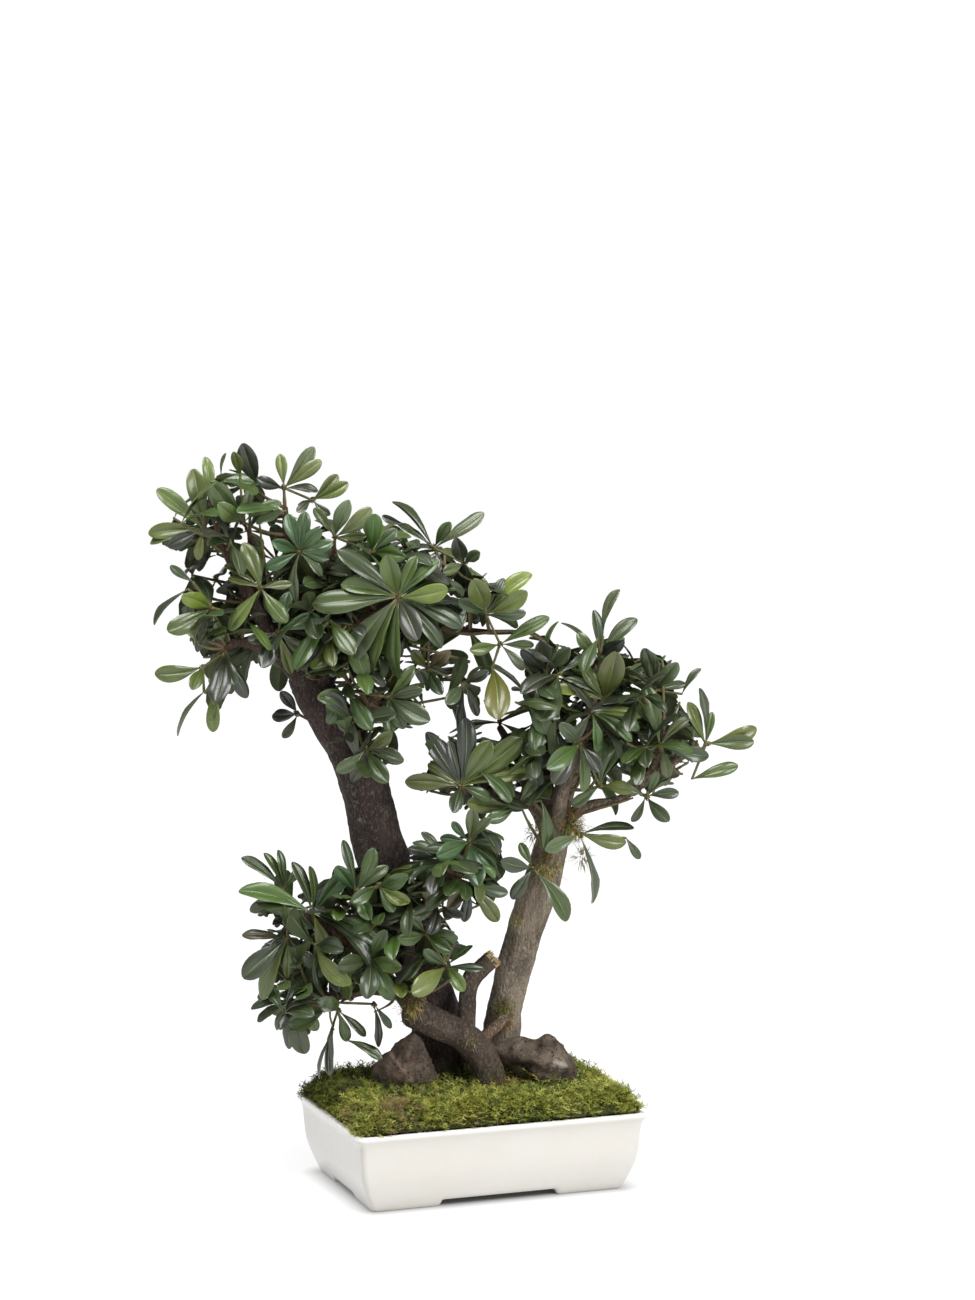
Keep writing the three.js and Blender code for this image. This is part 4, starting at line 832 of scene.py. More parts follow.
def rock_reach(ring, middle, turn):
    """How far a rock's outline is from its middle in this direction, in pixels."""
    way = (math.cos(turn), -math.sin(turn))
    reach = 0.0
    for (x1, y1), (x2, y2) in zip(ring, ring[1:] + ring[:1]):
        gap_x, gap_y, run_x, run_y = x1 - middle[0], y1 - middle[1], x2 - x1, y2 - y1
        cross = way[0] * run_y - way[1] * run_x
        if abs(cross) > 1e-9:
            out, share = (gap_x * run_y - gap_y * run_x) / cross, (gap_x * way[1] - gap_y * way[0]) / cross
            if out > 0 and 0 <= share <= 1:
                reach = max(reach, out)
    return reach


def broken(way, breaks):
    """How much of the full size is left in this direction, with the breaks' edges rounded."""
    reach = 1.0
    for right, near, up, share in breaks:
        cut = share / max(way.dot(Vector((right, near, up)).normalized()), 1e-6)
        if cut < reach + ROCK_ROUNDING:
            gap = max(0.0, ROCK_ROUNDING - abs(cut - reach)) / ROCK_ROUNDING
            reach = min(cut, reach) - gap * gap * ROCK_ROUNDING / 4
    return reach


for name, (ring, middle, thick, breaks) in ROCKS.items():
    turns = [rock_reach(ring, middle, i / ROCK_TURNS * math.tau) for i in range(ROCK_TURNS)]
    ball = bmesh.new()
    bmesh.ops.create_icosphere(ball, subdivisions=ROCK_SPLITS, radius=1)
    start, stop, half_width, mark_tone, strength = MARKS[name]
    points, marks = [], []
    for vert in ball.verts:
        way = vert.co.normalized()
        flat = math.hypot(way.x, way.z)
        spot = math.atan2(way.z, way.x) / math.tau * ROCK_TURNS % ROCK_TURNS
        low, share = int(spot) % ROCK_TURNS, spot % 1
        reach = turns[low] * (1 - share) + turns[(low + 1) % ROCK_TURNS] * share
        left = broken(way, breaks)
        out = flat ** 0.8 * left * reach / max(flat, 1e-6)
        across, down = middle[0] + way.x * out, middle[1] - way.z * out
        place = seen(across, down, middle[2] + way.y * thick * left)
        away_from = (place - seen(*middle)).normalized()
        ledges = noise.noise(Vector((place.x * 30, place.y * 30, place.z * 75 + place.x * 20)))
        crags = noise.noise(place * 34) * 0.003 + ledges * 0.0024 + noise.noise(place * 110) * 0.0015
        chips = abs(noise.noise(place * 62 + Vector((3, 1, 7)))) * 0.0034 + noise.noise(place * 230) * 0.0009
        chips -= abs(noise.noise(place * 150)) * 0.0012
        points.append(place + away_from * (crags - chips + 0.0008))
        run = Vector((stop[0] - start[0], stop[1] - start[1]))
        gap = Vector((across - start[0], down - start[1]))
        nearest = run * min(1, max(0, gap.dot(run) / run.length_squared))
        ragged = half_width * (1 + noise.noise(place * 240) * 1.1)
        marks.append(strength * min(1, max(0, 1.4 - (gap - nearest).length / max(ragged, 0.1))) * (way.y > 0))
    # Right, near and up turn the other way from x, y and z
    faces = [[vert.index for vert in face.verts][::-1] for face in ball.faces]
    ball.free()
    rock_mesh = bpy.data.meshes.new(name)
    rock_mesh.from_pydata(points, [], faces)
    rock_mesh.materials.append(stone.material)
    rock_mesh.polygons.foreach_set("use_smooth", [True] * len(faces))
    mark = rock_mesh.attributes.new("mark", "FLOAT_VECTOR", "POINT")
    mark.data.foreach_set("vector", [part for level in marks for part in (level, 0, 0)])
    tones = rock_mesh.color_attributes.new("tone", "FLOAT_COLOR", "POINT")
    tones.data.foreach_set("color", [*mark_tone, 1] * len(points))
    rock = bpy.data.objects.new(name.replace("rock", "stone"), rock_mesh)
    scene.collection.objects.link(rock)
    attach(rock, "root")
    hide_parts(name)

# Moss
# A pad of living sheet moss covers the soil in a low uneven mound, pressed in by hand up to the lip. It is
# made of curled feathery sprigs, bright at their tips and brown below, with dry and rusty patches.

# Heights, insets and slopes in millimetres, and how square the mound's edge is
MOSS_SHOULDER = 84
MOSS_RISE = 23
MOSS_INSET = 7.6
MOSS_MARGIN = 6.5
MOSS_POWER = 12
MOSS_SLOPE = 24
# Height of the mound's slow waves and their length along and across
MOSS_WAVES = (2.5, 19, 15)
MOUND_STEPS = 40
# Sprigs in all and in a clump, the leaves of each, and spread, lengths and widths in millimetres
SPRIGS = 12000
CLUMP_SPRIGS = 3
CLUMP_SPREAD = 2.2
SPRIG_LENGTHS = (9, 17.5)
SPRIG_WIDTHS = (1, 1.75)
SPRIG_LEAVES = 5
# Colour at the foot and at the tip of a sprig
MOSS_TONES = (
    ((0.016, 0.021, 0.004), (0.205, 0.230, 0.025)),
    ((0.025, 0.030, 0.005), (0.33, 0.34, 0.04)),
    ((0.011, 0.017, 0.003), (0.10, 0.15, 0.016)),
    ((0.040, 0.042, 0.008), (0.46, 0.46, 0.095)),
    # painted shade
    ((0.008, 0.010, 0.003), (0.045, 0.06, 0.012)),
    ((0.040, 0.026, 0.010), (0.26, 0.185, 0.07)),
    ((0.07, 0.026, 0.009), (0.42, 0.20, 0.05)),
    ((0.08, 0.06, 0.016), (0.50, 0.42, 0.15)),
)
GREEN, BRIGHT, DEEP, PALE, PAINTED_SHADE, DRY, RUSTY, STRAW = range(8)
# Patches of another colour: pixel across and down, size in millimetres, tone. The shady patches are painted
# shade, under the low stem and under the hanging leaves
MOSS_PATCHES = (
    (395, 1108, 26, DRY), (352, 1118, 12, DRY), (470, 1112, 12, DRY), (350, 1092, 16, PAINTED_SHADE),
    (498, 1084, 12, RUSTY), (314, 1094, 20, PAINTED_SHADE), (455, 1060, 26, PAINTED_SHADE), (560, 1098, 16, PALE),
    (470, 1100, 22, BRIGHT), (610, 1096, 16, BRIGHT), (432, 1092, 12, DRY), (520, 1082, 14, STRAW),
)


def moss_top(x, y):
    """The height of the mound at a place in the pot's own frame, in millimetres."""
    along = abs(x / (POT_LENGTH / 2 - MOSS_MARGIN)) ** MOSS_POWER
    across = abs(y / (POT_DEPTH / 2 - MOSS_MARGIN)) ** MOSS_POWER
    dome = max(0, 1 - along) * max(0, 1 - across)
    wave, long, deep = MOSS_WAVES
    return MOSS_SHOULDER + dome * (MOSS_RISE + wave * math.sin(x / long + 1) * math.cos(y / deep))


def moss_lumps(x, y):
    """Small cushions on the mound, in millimetres."""
    return 3.4 * noise.noise(Vector((x, y, 0)) / 12) + 1.6 * noise.noise(Vector((x, y, 9)) / 5)


def on_moss(across, down):
    """The place on the mound that shows at a pixel, in the pot's own frame in millimetres."""
    for near in range(120, -130, -2):
        place = (seen(across, down, near) - POT_MIDDLE) / MM
        if place.z <= moss_top(place.x, place.y):
            return place
    return place


thatch = Finish("moss_thatch", roughness=0.95)
thatch_grain = thatch.grain(420, 4, 0.65)
thatch.set(
    base_color=thatch.ramp(
        thatch_grain, (0.3, (0.018, 0.022, 0.005)), (0.55, (0.06, 0.075, 0.012)), (0.8, (0.13, 0.13, 0.03)),
    ),
    normal=thatch.bump(thatch_grain, 0.003, 0.9),
)
mound = Skin()
rings = []
for step in range(MOUND_STEPS + 1):
    share = math.sin(step / MOUND_STEPS * math.pi / 2)
    ring = []
    for x, y in outline(MOSS_INSET, share):
        drop = 1.8 * max(0, share - 0.97) / 0.03
        height = moss_top(x, y) + moss_lumps(x, y) * (1 - share ** 8) - 2 - drop
        ring.append(POT_MIDDLE + Vector((x, y, height)) * MM)
    rings.append(ring)
mound.grid(rings, closed=True)
mound.piece("moss_mound", [thatch], "moss", "moss")


class Fibres:
    """Thin bent blades that become one piece. Blades of one colour share a column of the piece's map."""

    def __init__(self):
        self.points, self.faces, self.spots, self.corners = [], [], [], []

    def strand(self, feet, side, wide, tone, foot_share=0.0):
        """A ribbon through the given places that narrows to a point."""
        base, column = len(self.points), (tone + 0.5) / len(MOSS_TONES)
        last = len(feet) - 1
        left, right = column - 0.2 / len(MOSS_TONES), column + 0.2 / len(MOSS_TONES)
        for i, foot in enumerate(feet):
            half, up = wide / 2 * (1 - (i / last) ** 2), foot_share + (1 - foot_share) * i / last
            self.points += [foot - side * half, foot + side * half] if i < last else [foot]
            self.spots += [(column, up, 0)] * (2 if i < last else 1)
        for i in range(last - 1):
            low = base + i * 2
            self.faces.append((low, low + 1, low + 3, low + 2))
            bottom, top = 0.03 + 0.9 * i / last, 0.03 + 0.9 * (i + 1) / last
            self.corners += [left, bottom, right, bottom, right, top, left, top]
        low = base + (last - 1) * 2
        self.faces.append((low, low + 1, low + 2))
        bottom = 0.03 + 0.9 * (last - 1) / last
        self.corners += [left, bottom, right, bottom, column, 0.97]

    def sprig(self, foot, way, curl, length, wide, tone):
        """A curled strand with short leaves along both sides."""
        stations, here, heading = [foot], foot.copy(), way.copy()
        for _ in range(4):
            here = here + heading * length / 4
            stations.append(here.copy())
            heading = (heading + curl).normalized()
        side = way.cross(UP + NEAR * 0.3).normalized()
        self.strand(stations, side, wide, tone)
        for i in range(SPRIG_LEAVES):
            share = 1.2 + 2.4 * i / SPRIG_LEAVES
            spot = stations[int(share)].lerp(stations[int(share) + 1], share % 1)
            ahead = (stations[int(share) + 1] - stations[int(share)]).normalized()
            out = (side * (1 if i % 2 else -1) + ahead * 0.6 + UP * 0.15).normalized() * length * 0.26
            self.strand([spot, spot + out * 0.6, spot + out], ahead, wide * 0.75, tone, share / 4)

    def blade(self, foot, way, droop, length, wide, tone):
        side = way.cross(UP + NEAR * 0.3).normalized() * wide / 2
        base, column = len(self.points), (tone + 0.5) / len(MOSS_TONES)
        bend = foot + way * length * 0.55
        end = foot + way * length - UP * droop * length
        self.points += [foot - side, foot + side, bend + side * 0.8, bend - side * 0.8, end]
        self.spots += [(column, 0, 0), (column, 0, 0), (column, 0.55, 0), (column, 0.55, 0), (column, 1, 0)]
        self.faces += [(base, base + 1, base + 2, base + 3), (base + 3, base + 2, base + 4)]
        left, right = column - 0.2 / len(MOSS_TONES), column + 0.2 / len(MOSS_TONES)
        self.corners += [left, 0.03, right, 0.03, right, 0.55, left, 0.55]
        self.corners += [left, 0.55, right, 0.55, column, 0.97]

    def piece(self, name, finish, slot):
        mesh = bpy.data.meshes.new(name)
        mesh.from_pydata(self.points, [], self.faces)
        mesh.materials.append(finish.material)
        mesh.polygons.foreach_set("use_smooth", [True] * len(self.faces))
        spots = mesh.attributes.new("spot", "FLOAT_VECTOR", "POINT")
        spots.data.foreach_set("vector", [part for spot in self.spots for part in spot])
        mesh.uv_layers.new(name="OFBake").data.foreach_set("uv", self.corners)
        made = bpy.data.objects.new(name, mesh)
        scene.collection.objects.link(made)
        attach(made, "root")
        return made


shoot = Finish("moss_shoots", roughness=0.75)
column, up_shoot, _ = parts_of(shoot.read("spot", "Vector"))
steps = [(i / len(MOSS_TONES), i) for i in range(len(MOSS_TONES))]
feet = shoot.node("ValToRGB", {"stops": [(at, MOSS_TONES[i][0]) for at, i in steps]}, {0: column})
tips = shoot.node("ValToRGB", {"stops": [(at, MOSS_TONES[i][1]) for at, i in steps]}, {0: column})
for ramp_node in (feet, tips):
    ramp_node.socket.node.color_ramp.interpolation = "CONSTANT"
shoot.set(base_color=shoot.blend(up_shoot ** 0.8, feet, tips))

dice = random.Random(7)
patches = [(on_moss(across, down), size, tone) for across, down, size, tone in MOSS_PATCHES]
moss_pieces = {"front": Fibres(), "back": Fibres()}
for _ in range(SPRIGS // CLUMP_SPRIGS):
    x = dice.uniform(-1, 1) * (POT_LENGTH / 2 - MOSS_INSET)
    y = dice.uniform(-1, 1) * (POT_DEPTH / 2 - MOSS_INSET)
    # The mound's steep edges need more, and the front shows most
    from_edge = MOSS_INSET + MOSS_SLOPE * dice.random()
    side = dice.choice(("middle", "middle", "front", "front", "back", "left", "right"))
    if side in ("left", "right"):
        x = (POT_LENGTH / 2 - from_edge) * (1 if side == "right" else -1)
    elif side != "middle":
        y = (POT_DEPTH / 2 - from_edge) * (1 if side == "back" else -1)
    patch_noise = noise.noise(Vector((x, y, 4)) / 16) + noise.noise(Vector((x, y, 8)) / 5) * 0.6
    tone = BRIGHT if patch_noise > 0.2 else DEEP if patch_noise < -0.12 else GREEN
    for place, size, patch_tone in patches:
        if math.hypot(x - place.x, y - place.y) < size * dice.uniform(0.3, 1.15):
            tone = patch_tone
    lean = Vector((noise.noise(Vector((x, y, 2)) / 9), noise.noise(Vector((x, y, 5)) / 9), 0)) * 1.6
    tall = 1 + 0.45 * noise.noise(Vector((x, y, 7)) / 8)
    for _ in range(CLUMP_SPRIGS):
        at_x, at_y = x + dice.gauss(0, CLUMP_SPREAD), y + dice.gauss(0, CLUMP_SPREAD)
        at_x = min(max(at_x, MOSS_INSET - POT_LENGTH / 2), POT_LENGTH / 2 - MOSS_INSET)
        at_y = min(max(at_y, MOSS_INSET - POT_DEPTH / 2), POT_DEPTH / 2 - MOSS_INSET)
        height = moss_top(at_x, at_y) + moss_lumps(at_x, at_y) - 3.2
        edge = max(abs(at_x) - POT_LENGTH / 2 + 20, abs(at_y) - POT_DEPTH / 2 + 20, 0) / 14
        way = lean + Vector((dice.gauss(0, 0.6), dice.gauss(0, 0.6), dice.uniform(0.6, 1.3)))
        way += Vector((at_x / POT_LENGTH, at_y / POT_DEPTH, 0)) * edge * 0.6
        curl = Vector((dice.gauss(0, 0.35), dice.gauss(0, 0.35), -dice.uniform(0.1, 0.5)))
        others = (GREEN, BRIGHT, PALE) if tone < PALE else (GREEN,)
        own = dice.choice((tone, tone, tone, *others))
        moss_pieces["front" if at_y < 0 else "back"].sprig(
            POT_MIDDLE + Vector((at_x, at_y, height)) * MM, way.normalized(), curl,
            dice.uniform(*SPRIG_LENGTHS) * tall * MM, dice.uniform(*SPRIG_WIDTHS) * MM, own,
        )
for end, fibres in moss_pieces.items():
    fibres.piece(f"moss_{end}", shoot, "moss")

# Tufts on the bark
# Yellow moss and dry fibres cling to the right stem below its fork and to the torn end of the low stem.

# Middle as a pixel and nearness, radius in millimetres, count, longest in millimetres and tones
TUFTS = (
    (505, 1007, -13, 9, 420, 6, (PALE, STRAW, GREEN)), (505, 1021, -12, 6, 160, 7, (RUSTY, DRY)),
    (517, 918, -8, 5, 110, 5, (PALE, STRAW)), (547, 864, -2, 12, 420, 10, (STRAW, STRAW, RUSTY, PALE)),
    (570, 818, 0, 13, 260, 15, (STRAW, DRY, RUSTY)), (574, 828, 4, 10, 520, 7, (PALE, GREEN, BRIGHT)),
    (536, 832, 2, 9, 240, 9, (STRAW, PALE, BRIGHT)), (582, 856, -4, 7, 90, 14, (STRAW,)),
    (411, 1001, 44, 12, 520, 8, (PALE, GREEN, RUSTY, STRAW)), (470, 1040, 30, 6, 90, 4, (PALE, STRAW)),
    (498, 1082, 26, 9, 170, 7, (RUSTY, DRY)),
)
tufts = Fibres()
for across, down, near, spread, count, longest, tones in TUFTS:
    middle = seen(across, down, near)
    for _ in range(count):
        out = Vector((dice.gauss(0, 0.5), dice.gauss(0, 0.5), dice.gauss(0, 0.5)))
        way = (out + NEAR * 0.35 + UP * dice.uniform(-0.2, 0.6)).normalized()
        tufts.blade(
            middle + out * spread * MM, way, dice.uniform(0, 0.7),
            longest * dice.uniform(0.4, 1) * MM, dice.uniform(0.5, 0.95) * MM, dice.choice(tones),
        )
tufts.piece("bark_tufts", shoot, "moss")

# Leaf sprays
# Each spray is a thin green-brown twig with a whorl of leathery evergreen leaves round each bud. A leaf is
# narrow at its stalk and widest near its round tip, glossy dark green above and dull and paler below, with
# a sunk pale midrib and its edges bent slightly back.

# Leaf colours, as reflected light. The near-black tone is painted shade, for leaves that lie in shadow
SHADE_BLACK = (0.014, 0.017, 0.009)
DARK = (0.025, 0.042, 0.009)
MID = (0.041, 0.078, 0.008)
OLIVE = (0.070, 0.097, 0.008)
LIGHT = (0.100, 0.134, 0.019)
LIME = (0.120, 0.166, 0.012)
FRESH = (0.041, 0.093, 0.010)
BLUE = (0.026, 0.072, 0.014)
# A pale grey-green, partly the leaf's own colour and partly painted sheen
GREY_SHEEN = (0.076, 0.104, 0.036)
BROWN = (0.062, 0.046, 0.015)
OCHRE = (0.124, 0.120, 0.009)
BACK_TONES = (DARK, MID, OLIVE, MID, FRESH)
# Leaves hidden behind the shown ones lean to the darkest tones, as painted shade deep in the crown
FILLING_TONES = (SHADE_BLACK, DARK, MID, DARK, OLIVE)

# A whorl is a pixel and a nearness. Each leaf that shows is given by the pixel of its tip, its width there
# in pixels and its colour, then by the pixel that it springs from where that isn't the whorl.
SPRAYS = {
    # Left crown
    "peak": ("top_limb", (
        ((284, 488, -8), (
            (280, 454, 12, LIGHT), (314, 447, 15, GREY_SHEEN), (321, 461, 14, LIGHT), (258, 479, 13, SHADE_BLACK),
            (214, 479, 13, MID), (318, 490, 9, DARK), (243, 444, 20, SHADE_BLACK, 258, 484),
        )),
        ((312, 500, -12), (
            (338, 475, 13, GREY_SHEEN), (348, 483, 14, LIGHT), (297, 512, 9, DARK), (330, 515, 9, DARK),
        )),
    )),
    "outer_left": ("left_limb", (((204, 529, 14), (
        (157, 489, 17, LIGHT), (193, 469, 20, OLIVE), (148, 533, 16, OLIVE), (150, 543, 12, LIGHT),
        (206, 457, 12, LIGHT, 208, 500), (230, 544, 8, MID), (198, 560, 10, LIGHT), (168, 547, 14, SHADE_BLACK),
    )),)),
    "upper_left": ("top_limb", (((243, 522, 6), (
        (210, 482, 22, MID), (250, 490, 10, GREY_SHEEN), (281, 502, 11, MID), (234, 452, 11, LIGHT, 240, 475),
        (226, 453, 4, DARK, 221, 474), (220, 506, 18, LIGHT),
    )),)),
    "rosette": ("top_limb", (((299, 552, 32), (
        (288, 514, 14, BLUE), (305, 512, 14, BLUE), (321, 529, 14, BLUE), (272, 541, 13, BLUE),
        (333, 542, 12, BLUE), (329, 559, 10, BLUE), (266, 568, 13, BLUE), (322, 576, 8, GREY_SHEEN),
        (296, 602, 10, GREY_SHEEN),
    )),)),
    "inner_left": ("left_limb", (((261, 588, 40), (
        (243, 543, 16, OLIVE), (228, 630, 15, LIME), (286, 622, 16, OLIVE), (292, 584, 9, GREY_SHEEN),
        (226, 563, 8, OLIVE), (240, 556, 7, OLIVE), (228, 578, 8, LIGHT),
    )),)),
    "left": ("left_limb", (((212, 608, 26), (
        (183, 596, 18, LIME), (168, 631, 20, OLIVE), (197, 652, 10, DARK), (222, 640, 12, OLIVE),
        (153, 624, 5, DARK, 188, 589), (170, 566, 9, DARK, 193, 582),
    )),)),
    "drooping_left": ("left_low_limb", (
        ((224, 652, 26), (
            (213, 732, 14, OLIVE, 215, 688), (215, 702, 22, SHADE_BLACK), (247, 698, 14, SHADE_BLACK),
            (234, 684, 14, DARK),
        )),
        ((203, 667, 28), ((155, 674, 18, OLIVE), (192, 690, 14, OLIVE), (177, 736, 6, GREY_SHEEN, 204, 692))),
    )),
    "throat": ("left_limb", (((278, 632, 32), (
        (292, 674, 12, LIGHT), (262, 668, 18, SHADE_BLACK), (248, 640, 12, DARK), (316, 655, 14, DARK),
        (289, 592, 13, BLUE), (320, 617, 16, BLUE),
    )),)),
    "nape": ("trunk_left", (((298, 714, -48), (
        (272, 716, 14, SHADE_BLACK), (281, 692, 12, SHADE_BLACK), (283, 738, 10, DARK),
    )),)),
    "middle_top": ("middle_limb", (
        ((335, 537, 20), (
            (348, 502, 16, GREY_SHEEN), (371, 509, 17, GREY_SHEEN), (314, 508, 10, OLIVE), (366, 536, 10, OLIVE),
            (322, 570, 9, DARK),
        )),
        ((372, 552, 16), ((374, 514, 18, FRESH), (397, 529, 12, MID), (404, 557, 16, MID))),
    )),
    "great_whorl": ("front_limb", (((398, 597, 54), (
        (337, 551, 17, DARK), (341, 584, 15, MID), (312, 604, 22, MID), (350, 660, 21, DARK),
        (372, 674, 15, MID), (395, 679, 18, MID), (418, 640, 22, SHADE_BLACK), (443, 647, 16, DARK),
        (463, 624, 14, DARK), (448, 589, 19, LIME), (438, 560, 12, MID), (416, 556, 12, MID),
        (387, 555, 20, OLIVE),
    )),)),
    "right_top": ("right_limb", (
        ((434, 548, -2), (
            (393, 501, 6, DARK), (484, 513, 13, GREY_SHEEN), (398, 524, 7, DARK), (382, 516, 8, SHADE_BLACK, 405, 524),
            (450, 522, 12, MID),
        )),
        ((464, 563, 8), (
            (457, 540, 16, SHADE_BLACK), (480, 552, 12, GREY_SHEEN), (489, 594, 10, OLIVE), (443, 572, 12, GREY_SHEEN),
        )),
    )),
    "right_edge": ("bridge_limb", (
        ((486, 614, 24), (
            (473, 580, 22, OLIVE), (459, 600, 14, MID), (531, 573, 15, LIME), (527, 592, 18, OLIVE),
            (503, 578, 10, DARK), (526, 613, 12, DARK),
        )),
        ((500, 644, 14), (
            (549, 617, 14, MID), (524, 670, 10, GREY_SHEEN), (534, 645, 9, MID), (470, 650, 13, OLIVE),
            (497, 717, 26, OCHRE, 492, 668),
        )),
    )),
    # Left stem and the shade between the crowns
    "upper_trunk": ("throat_limb", (
        ((347, 691, 30), (
            (318, 698, 16, MID), (328, 724, 14, MID), (371, 729, 18, FRESH), (382, 672, 12, MID),
            (343, 732, 12, DARK),
        )),
        ((388, 697, 36), (
            (391, 733, 14, MID), (404, 728, 14, MID), (430, 721, 21, DARK), (421, 690, 14, DARK),
            (414, 666, 12, MID),
        )),
    )),
    "collar": ("collar_limb", (((367, 749, 26), (
        (337, 772, 14, GREY_SHEEN), (388, 782, 18, MID), (402, 761, 16, DARK), (392, 732, 14, OLIVE),
        (352, 782, 12, DARK),
    )),)),
    "shaded_middle": ("bridge_limb", (
        ((428, 668, 2), ((441, 694, 13, DARK), (412, 650, 12, OLIVE), (448, 652, 14, BROWN))),
        ((464, 684, 8), (
            (488, 672, 11, SHADE_BLACK), (463, 737, 10, SHADE_BLACK), (446, 704, 14, GREY_SHEEN), (478, 716, 10, SHADE_BLACK),
        )),
    )),
    # Right crown
    "right_peak": ("right_top_limb", (((600, 656, 8), (
        (594, 610, 12, DARK), (618, 589, 8, GREY_SHEEN, 603, 636), (636, 618, 14, DARK), (562, 622, 5, DARK),
        (578, 634, 13, MID), (622, 642, 16, SHADE_BLACK),
    )),)),
    "right_shoulder": ("right_up_limb", (((546, 672, -8), (
        (556, 621, 6, MID), (541, 640, 16, SHADE_BLACK), (570, 648, 15, DARK), (521, 650, 13, SHADE_BLACK),
        (520, 690, 12, DARK), (538, 712, 12, SHADE_BLACK),
    )),)),
    "right_face": ("right_top_limb", (
        ((604, 700, 26), (
            (617, 652, 25, OLIVE), (583, 664, 12, OLIVE), (566, 676, 8, DARK), (549, 690, 12, LIME),
            (640, 700, 12, SHADE_BLACK),
        )),
        ((592, 712, 44), (
            (640, 728, 12, MID), (632, 741, 10, FRESH), (641, 715, 10, LIGHT), (566, 742, 12, DARK),
            (598, 752, 11, FRESH),
        )),
    )),
    "right_crest": ("right_side_limb", (((655, 690, 4), (
        (677, 663, 18, GREY_SHEEN), (645, 650, 18, DARK), (626, 668, 13, GREY_SHEEN), (686, 684, 9, DARK),
        (700, 668, 6, DARK, 682, 694),
    )),)),
    "right_flank": ("right_side_limb", (((660, 745, 24), (
        (645, 685, 18, MID), (709, 757, 15, DARK), (668, 778, 12, OLIVE), (626, 762, 13, MID),
        (690, 716, 10, GREY_SHEEN),
    )),)),
    "right_tip": ("right_far_limb", (((706, 744, 20), (
        (757, 729, 17, LIGHT), (754, 742, 16, OLIVE), (700, 688, 9, DARK), (689, 702, 12, OLIVE),
        (738, 765, 13, OLIVE, 692, 779), (712, 712, 9, MID),
    )),)),
    "right_under": ("right_side_limb", (((646, 796, 16), (
        (669, 821, 14, DARK), (679, 793, 12, DARK), (612, 782, 12, MID), (632, 822, 9, DARK),
        (657, 772, 10, MID, 648, 792),
    )),)),
    "right_lower": ("right_front_limb", (
        ((600, 786, 30), (
            (601, 738, 16, MID), (620, 745, 12, MID), (632, 790, 14, OLIVE), (572, 806, 12, MID),
        )),
        ((580, 744, 42), (
            (547, 768, 20, MID), (554, 784, 19, SHADE_BLACK), (600, 772, 14, SHADE_BLACK), (560, 724, 14, DARK),
            (584, 792, 12, MID),
        )),
    )),
    "near_left": ("right_left_limb", (((461, 786, 24), (
        (427, 732, 17, SHADE_BLACK), (405, 782, 18, OLIVE), (428, 764, 13, OLIVE), (453, 813, 15, DARK),
        (466, 718, 20, SHADE_BLACK), (449, 741, 12, SHADE_BLACK), (491, 741, 20, OLIVE), (523, 738, 24, OLIVE),
        (534, 771, 12, OLIVE), (490, 800, 13, MID),
    )),)),
    "near_low": ("right_left_limb", (((517, 806, 20), (
        (467, 803, 19, LIGHT), (487, 820, 14, FRESH), (539, 776, 12, MID), (548, 852, 14, MID, 541, 800),
        (505, 776, 10, MID),
    )),)),
    "right_trunk": ("trunk_right", (((533, 868, 14), (
        (512, 899, 14, DARK), (501, 861, 16, DARK), (567, 921, 17, MID), (520, 843, 10, MID),
    )),)),
    "right_fork": ("right_side_limb", (((580, 834, 10), (
        (545, 850, 15, GREY_SHEEN), (626, 843, 16, OLIVE), (634, 828, 7, DARK), (594, 903, 6, DARK),
        (640, 859, 9, DARK, 626, 838),
    )),)),
    # Low pad
    "low_rosette": ("low_top_limb", (
        ((469, 842, 40), (
            (452, 822, 9, BLUE), (473, 808, 14, GREY_SHEEN), (492, 818, 9, GREY_SHEEN), (499, 842, 10, BLUE),
            (437, 856, 19, BLUE), (478, 884, 21, BLUE), (496, 872, 12, BLUE), (440, 838, 10, BLUE),
        )),
        ((444, 858, 34), (
            (422, 832, 9, DARK), (409, 848, 10, DARK), (432, 888, 19, FRESH), (402, 872, 15, LIGHT),
            (420, 868, 12, MID),
        )),
    )),
    "low_right": ("low_top_limb", (
        ((470, 884, 44), (
            (498, 922, 16, OLIVE), (508, 893, 13, DARK), (448, 908, 14, BROWN), (464, 922, 12, SHADE_BLACK),
        )),
        ((438, 904, 44), (
            (424, 884, 13, BROWN), (464, 916, 10, SHADE_BLACK), (412, 916, 15, DARK), (430, 934, 14, SHADE_BLACK),
        )),
    )),
    "low_left": ("low_left_limb", (((312, 912, 46), (
        (239, 890, 17, FRESH), (256, 902, 15, MID), (346, 872, 18, BLUE), (310, 866, 8, MID),
        (382, 944, 13, MID), (372, 962, 9, DARK), (327, 954, 15, OLIVE), (292, 862, 11, DARK),
    )),)),
    "low_outer": ("low_left_limb", (
        ((284, 890, 30), (
            (242, 857, 9, DARK), (264, 853, 7, MID), (250, 912, 13, DARK), (280, 850, 8, MID),
            (300, 868, 9, MID),
        )),
        ((288, 938, 38), (
            (242, 934, 9, BROWN), (243, 978, 23, DARK), (262, 1000, 17, OLIVE), (288, 978, 12, LIGHT),
            (318, 968, 14, DARK),
        )),
    )),
    "low_top": ("low_left_limb", (
        ((356, 892, 44), (
            (343, 840, 9, DARK), (370, 920, 15, FRESH), (374, 848, 15, MID), (336, 866, 14, BLUE),
            (388, 866, 12, MID),
        )),
        ((378, 886, 52), (
            (406, 877, 16, FRESH), (409, 902, 14, LIME), (352, 902, 14, MID), (394, 912, 12, MID),
        )),
    )),
    "low_front": ("low_left_limb", (((370, 958, 56), (
        (367, 997, 19, DARK), (338, 966, 21, DARK), (392, 1000, 18, FRESH), (402, 968, 16, MID),
        (352, 930, 13, MID), (386, 930, 14, MID),
    )),)),
    "low_corner": ("low_right_limb", (
        ((446, 966, 50), (
            (412, 993, 22, LIGHT), (464, 991, 14, LIGHT), (472, 945, 6, MID), (484, 968, 8, DARK),
